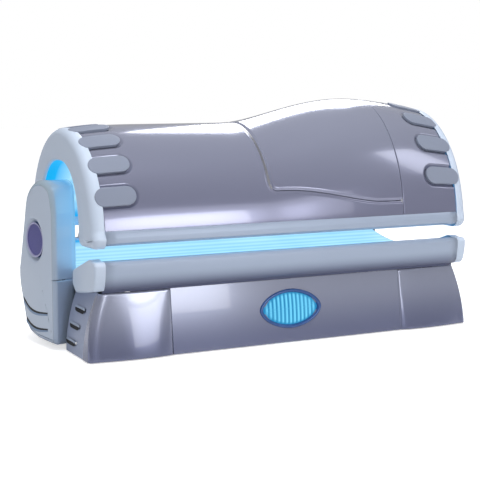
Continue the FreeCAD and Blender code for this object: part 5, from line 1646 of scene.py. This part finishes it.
bezel_steps = []
for inset, out in ((0.0, -2.0), (0.0, 1.0), (0.6, 3.2), (2.4, 5.6), (5.0, 7.2), (8.0, 7.8), (11.5, 7.4),
                   (14.5, 6.0), (17.0, 3.6), (18.6, 0.6), (19.6, -3.0), (20.4, -8.0)):
    bezel_steps.append([on_front(x, z, out) for x, z in almond(inset)])
bezel = to_object("lens_bezel_round", *from_rows(bezel_steps, around=True), bezel_paint, "base", "bezel")
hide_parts("lens_bezel")

# %% Ribbed lens
rib_pitch, rib_high = 24.0, 4.0
lens_sunk, lens_crown = -7.0, 5.0
lens_points, rib_height = [], []
lens_edge = almond(20.0)
lens_rings = 26
for ring in range(lens_rings + 1):
    share = 1.0 - ring / lens_rings
    share = share * 0.999 + 0.001
    rim = min(1.0, (1.0 - share) * 7.0)
    for x, z in lens_edge:
        rib = 0.5 + 0.5 * math.cos(2.0 * math.pi * x * share / rib_pitch)
        rib = smooth_step(rib) * rim
        swell = lens_crown * (1.0 - share ** 2)
        lens_points.append(on_front(x * share, z * share, lens_sunk + swell + rib_high * rib))
        rib_height.append(rib)
lens = to_object("lens_ribbed", lens_points, grid_faces(lens_rings + 1, almond_count, around=True),
                 lens_glow, "base", "lens")
paint(lens, "rib", rib_height)
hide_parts("lens")
print("bezel", len(bezel.data.polygons), "lens", len(lens.data.polygons), "faces")

# %% [markdown]
# ## Slot hoods
#
# Three cooling slots are pressed into each side panel.  A pressed slot has a lip that turns
# in above a dark opening, and that little lip is all that the eye needs.

# %% Hooded slots in the side panels
stations = 22
slot_places = ((244.0, 165.0), (156.0, 195.0), (68.0, 225.0))
slot_run, throat_inset = 150.0, 4.0
hood_profile = ((13.0, 0.3), (11.5, 1.3), (8.0, 2.1), (4.0, 2.2), (1.0, 1.6), (0.0, 0.2))
throat_drops = (0.5, -8.0, -19.0)


def slot_row(side, middle_z, drop, start_d, run, proud, out=0.0):
    """One row of points along a slot; drop and out are full at mid run and 0 at its ends."""
    row = []
    for k in range(stations + 1):
        share = k / stations
        arch = math.sqrt(max(0.0, 1.0 - (2.0 * share - 1.0) ** 6))
        z = middle_z + drop * arch
        row.append(bed(side * (flare(z) + proud + out * arch), start_d + run * share, z))
    return row


hood_parts, throat_parts = [], []
for side, _ in both_ends:
    for middle_z, start_d in slot_places:
        hood_parts.append(from_rows([slot_row(side, middle_z, drop, start_d, slot_run, 0.4, out)
                                     for drop, out in hood_profile]))
        throat_parts.append(from_rows([slot_row(side, middle_z, drop, start_d + throat_inset,
                                                slot_run - 2.0 * throat_inset, 0.7)
                                       for drop in throat_drops]))
to_object("slot_hoods", *join(*hood_parts), satin_rail, "base", "side")
# Each throat is a dark strip laid on the panel: painted shade of the opening.
to_object("slot_throats", *join(*throat_parts), slot_shade_black, "base", "black")
print("six slots of", stations, "stations")

# %% [markdown]
# ## The lit inside
#
# The tubes aren't seen one by one.  They show through frosted acrylic as soft bright lines
# that run along the bed.  We store each line on the mesh itself: every vertex gets a number
# that is 1 over a tube and about two thirds between two, and the material turns it into
# light.

# %% Light of the tubes
tunnel_a, tunnel_b, tunnel_low = mid_d - 123.0, 398.0, 640.0
tunnel_half = (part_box("canopy_acrylic")[1].x - mid_x) / MM
tubes = 16
first_tube, tube_span = 0.035, 0.93
line_mean, line_swing = 0.84, 0.16
edge_share = 0.075


def tube_light(share):
    """1 over a tube, less between two, and 0 along both long edges of the acrylic."""
    along = (share - first_tube) / tube_span
    line = line_mean + line_swing * math.cos(2.0 * math.pi * along * (tubes - 1))
    return line * smooth_step(min(share, 1.0 - share) / edge_share)


def tunnel_arch(count):
    """The tunnel acrylic's arch from front to rear, as (d, z)."""
    start = math.asin((tunnel_low - arch_z) / tunnel_b)
    turns = [start + (math.pi - 2.0 * start) * i / (count - 1) for i in range(count)]
    return [(mid_d - tunnel_a * math.cos(turn), arch_z + tunnel_b * math.sin(turn)) for turn in turns]


def lit_sheet(name, half, line, body):
    """A sheet of acrylic pulled along the bed from a line of (d, z), with its tube light."""
    rows = [[bed(x, d, z) for d, z in line] for x in spread(-half, half, 80.0)]
    sheet = to_object(name, *from_rows(rows), acrylic_glow, body, "acrylic")
    paint(sheet, "lamp_line", [tube_light(k / (len(line) - 1)) for k in range(len(line))] * len(rows))
    return sheet


# %% Tunnel and bench acrylic
lit_rows = 241
tunnel = lit_sheet("tunnel_acrylic", tunnel_half, tunnel_arch(lit_rows), "canopy")
thicken(tunnel, 5.0, offset=1.0)
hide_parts("canopy_acrylic")

bench_low_box, bench_high_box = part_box("bed_acrylic")
bench_end = (bench_high_box.x - mid_x) / MM
bench_front = (bench_low_box.y - front_y) / MM
bench_places = [bench_front + (depth - 2.0 * bench_front) * k / (lit_rows - 1) for k in range(lit_rows)]
bench = lit_sheet("bench_acrylic", bench_end, [(d, bench_z(d)) for d in bench_places], "base")
thicken(bench, 5.0)
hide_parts("bed_acrylic")
print("tunnel", round(2 * tunnel_half), "mm and bench", round(2 * bench_end), "mm long")

# %% [markdown]
# ## End linings
#
# Between the acrylic and each ring lies a plain lining.  It starts inside the ring's
# opening, steps out to the arch, and meets the acrylic.  It is no lamp, yet it glows: its
# light is painted, deep cyan in the mouth and paler towards the acrylic.  Where its two parts
# join there is a dark seam, a thin line of shadow, which we model as a slim tube.

# %% Two linings and their seams
lining_rows = 161
lining_painted_glow = (0.0, 0.0, 0.0, 0.0, 0.0, 0.0, 0.25, 0.7)
seam_radius = 1.6


def seam_tube(line, radius, x, sides=6):
    """A slim tube along a line of (d, z) at one place along the bed."""
    points = []
    for k, (d, z) in enumerate(line):
        d0, z0 = line[max(0, k - 1)]
        d1, z1 = line[min(len(line) - 1, k + 1)]
        length = math.hypot(d1 - d0, z1 - z0)
        out_d, out_z = (z1 - z0) / length, -(d1 - d0) / length
        for i in range(sides):
            turn = 2.0 * math.pi * i / sides
            reach = radius * math.cos(turn)
            points.append(bed(x + radius * math.sin(turn), d + out_d * reach, z + out_z * reach))
    return points, grid_faces(len(line), sides, around=True)


for side, label in both_ends:
    mouth = along_line(hole_arch(-0.7), lining_rows)
    arch = along_line(tunnel_arch(121), lining_rows)
    loops = [(side * (cap_half - 15.5), mouth), (side * (cap_half - 40.0), mouth),
             (side * (body_half - 3.0), mouth)]
    for share in (0.35, 0.7, 1.0):
        step = [(p[0] + (q[0] - p[0]) * share, p[1] + (q[1] - p[1]) * share) for p, q in zip(mouth, arch)]
        loops.append((side * (body_half - 3.0 - 1.5 * share), step))
    loops += [(side * (body_half - 30.0), arch), (side * (tunnel_half + 1.0), arch)]
    rows = [[bed(x, d, z) for d, z in line] for x, line in loops]
    lining = to_object("lining_" + label, *from_rows(rows), lining_glow, "canopy", "lining")
    paint(lining, "painted_glow", [painted_glow for painted_glow in lining_painted_glow for _ in range(lining_rows)])
    to_object("lining_seam_" + label, *seam_tube(arch, seam_radius, side * (body_half - 6.0)),
              seam_black, "canopy", "black")
    if side < 0:
        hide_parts("end_linings")
print("linings with", len(loops), "loops each")

# %% [markdown]
# ## Finishes for everything else
#
# Every piece of the frame that we didn't model again keeps its own mesh and gets a real
# finish here, by what it is made of.  Even parts nobody sees, such as the ballasts in the
# base, are dressed, because the lid opens and the buyer may walk round to the back.

# %% Materials by slot
frame_grey = shade(0.30, 0.31, 0.34)
white_plastic = shade(0.90, 0.91, 0.93)

finish_of = {
    "shell": lacquer_shell,
    "fascia": lacquer_base,
    "ring": satin_ring,
    "rail": satin_rail,
    "tabs": satin_tab,
    "side": satin("side_panel_paint", shade(0.60, 0.64, 0.74), 0.42, metallic=0.2, coat=0.15),
    "pod": pod_paint,
    "pod_trim": pod_trim_paint,
    "grille": grille_paint,
    "bezel": bezel_paint,
    "lens": lens_glow,
    "acrylic": acrylic_glow,
    "lining": lining_glow,
    "lamp": glowing("lamp_glass", shade(0.74, 0.92, 1.0), shade(1.0, 1.0, 1.0), "none", boost=3.0),
    "filter": glowing("face_filter", shade(0.30, 0.62, 0.98), shade(0.55, 0.82, 1.0), "none"),
    "reflector": brushed("bright_reflector", shade(0.93, 0.94, 0.96), 0.18, along=(1.0, 30.0, 30.0)),
    "holder": satin("holder_plastic", white_plastic, 0.38, grain=500.0),
    "frame": satin("frame_powder", frame_grey, 0.55, grain=1100.0, bump=0.22),
    "canopy_frame": brushed("mill_aluminium", shade(0.78, 0.79, 0.81), 0.36),
    "rear": satin("rear_powder", shade(0.58, 0.60, 0.66), 0.52, grain=1000.0, bump=0.2),
    "box": satin("box_zinc", shade(0.72, 0.73, 0.75), 0.44, metallic=0.6, grain=90.0, bump=0.06),
    "fan": satin("fan_plastic", shade(0.16, 0.16, 0.18), 0.40, grain=600.0),
    "steel": brushed("bright_steel", shade(0.80, 0.80, 0.82), 0.30, along=(40.0, 1.0, 1.0)),
    "chromed": brushed("chromed_rod", shade(0.92, 0.92, 0.94), 0.16, along=(80.0, 1.0, 1.0)),
    "black": satin("black_paint", shade(0.13, 0.13, 0.15), 0.34, grain=800.0, coat=0.2),
    "foot": satin("rubber_foot", shade(0.11, 0.11, 0.12), 0.62, grain=500.0, bump=0.3),
    "panel": satin("panel_plastic", shade(0.20, 0.21, 0.27), 0.36, grain=600.0),
    "button": satin("button_plastic", shade(0.86, 0.88, 0.92), 0.30, grain=500.0, coat=0.3),
}

slot_of = {part["node"]: part["material_slot"] for part in frame["record"]["subparts"]}
for node_name, node in sorted(frame["nodes"].items()):
    node.data.materials.clear()
    node.data.materials.append(finish_of[slot_of[node_name]])
print("dressed", len(frame["nodes"]), "pieces of the frame")
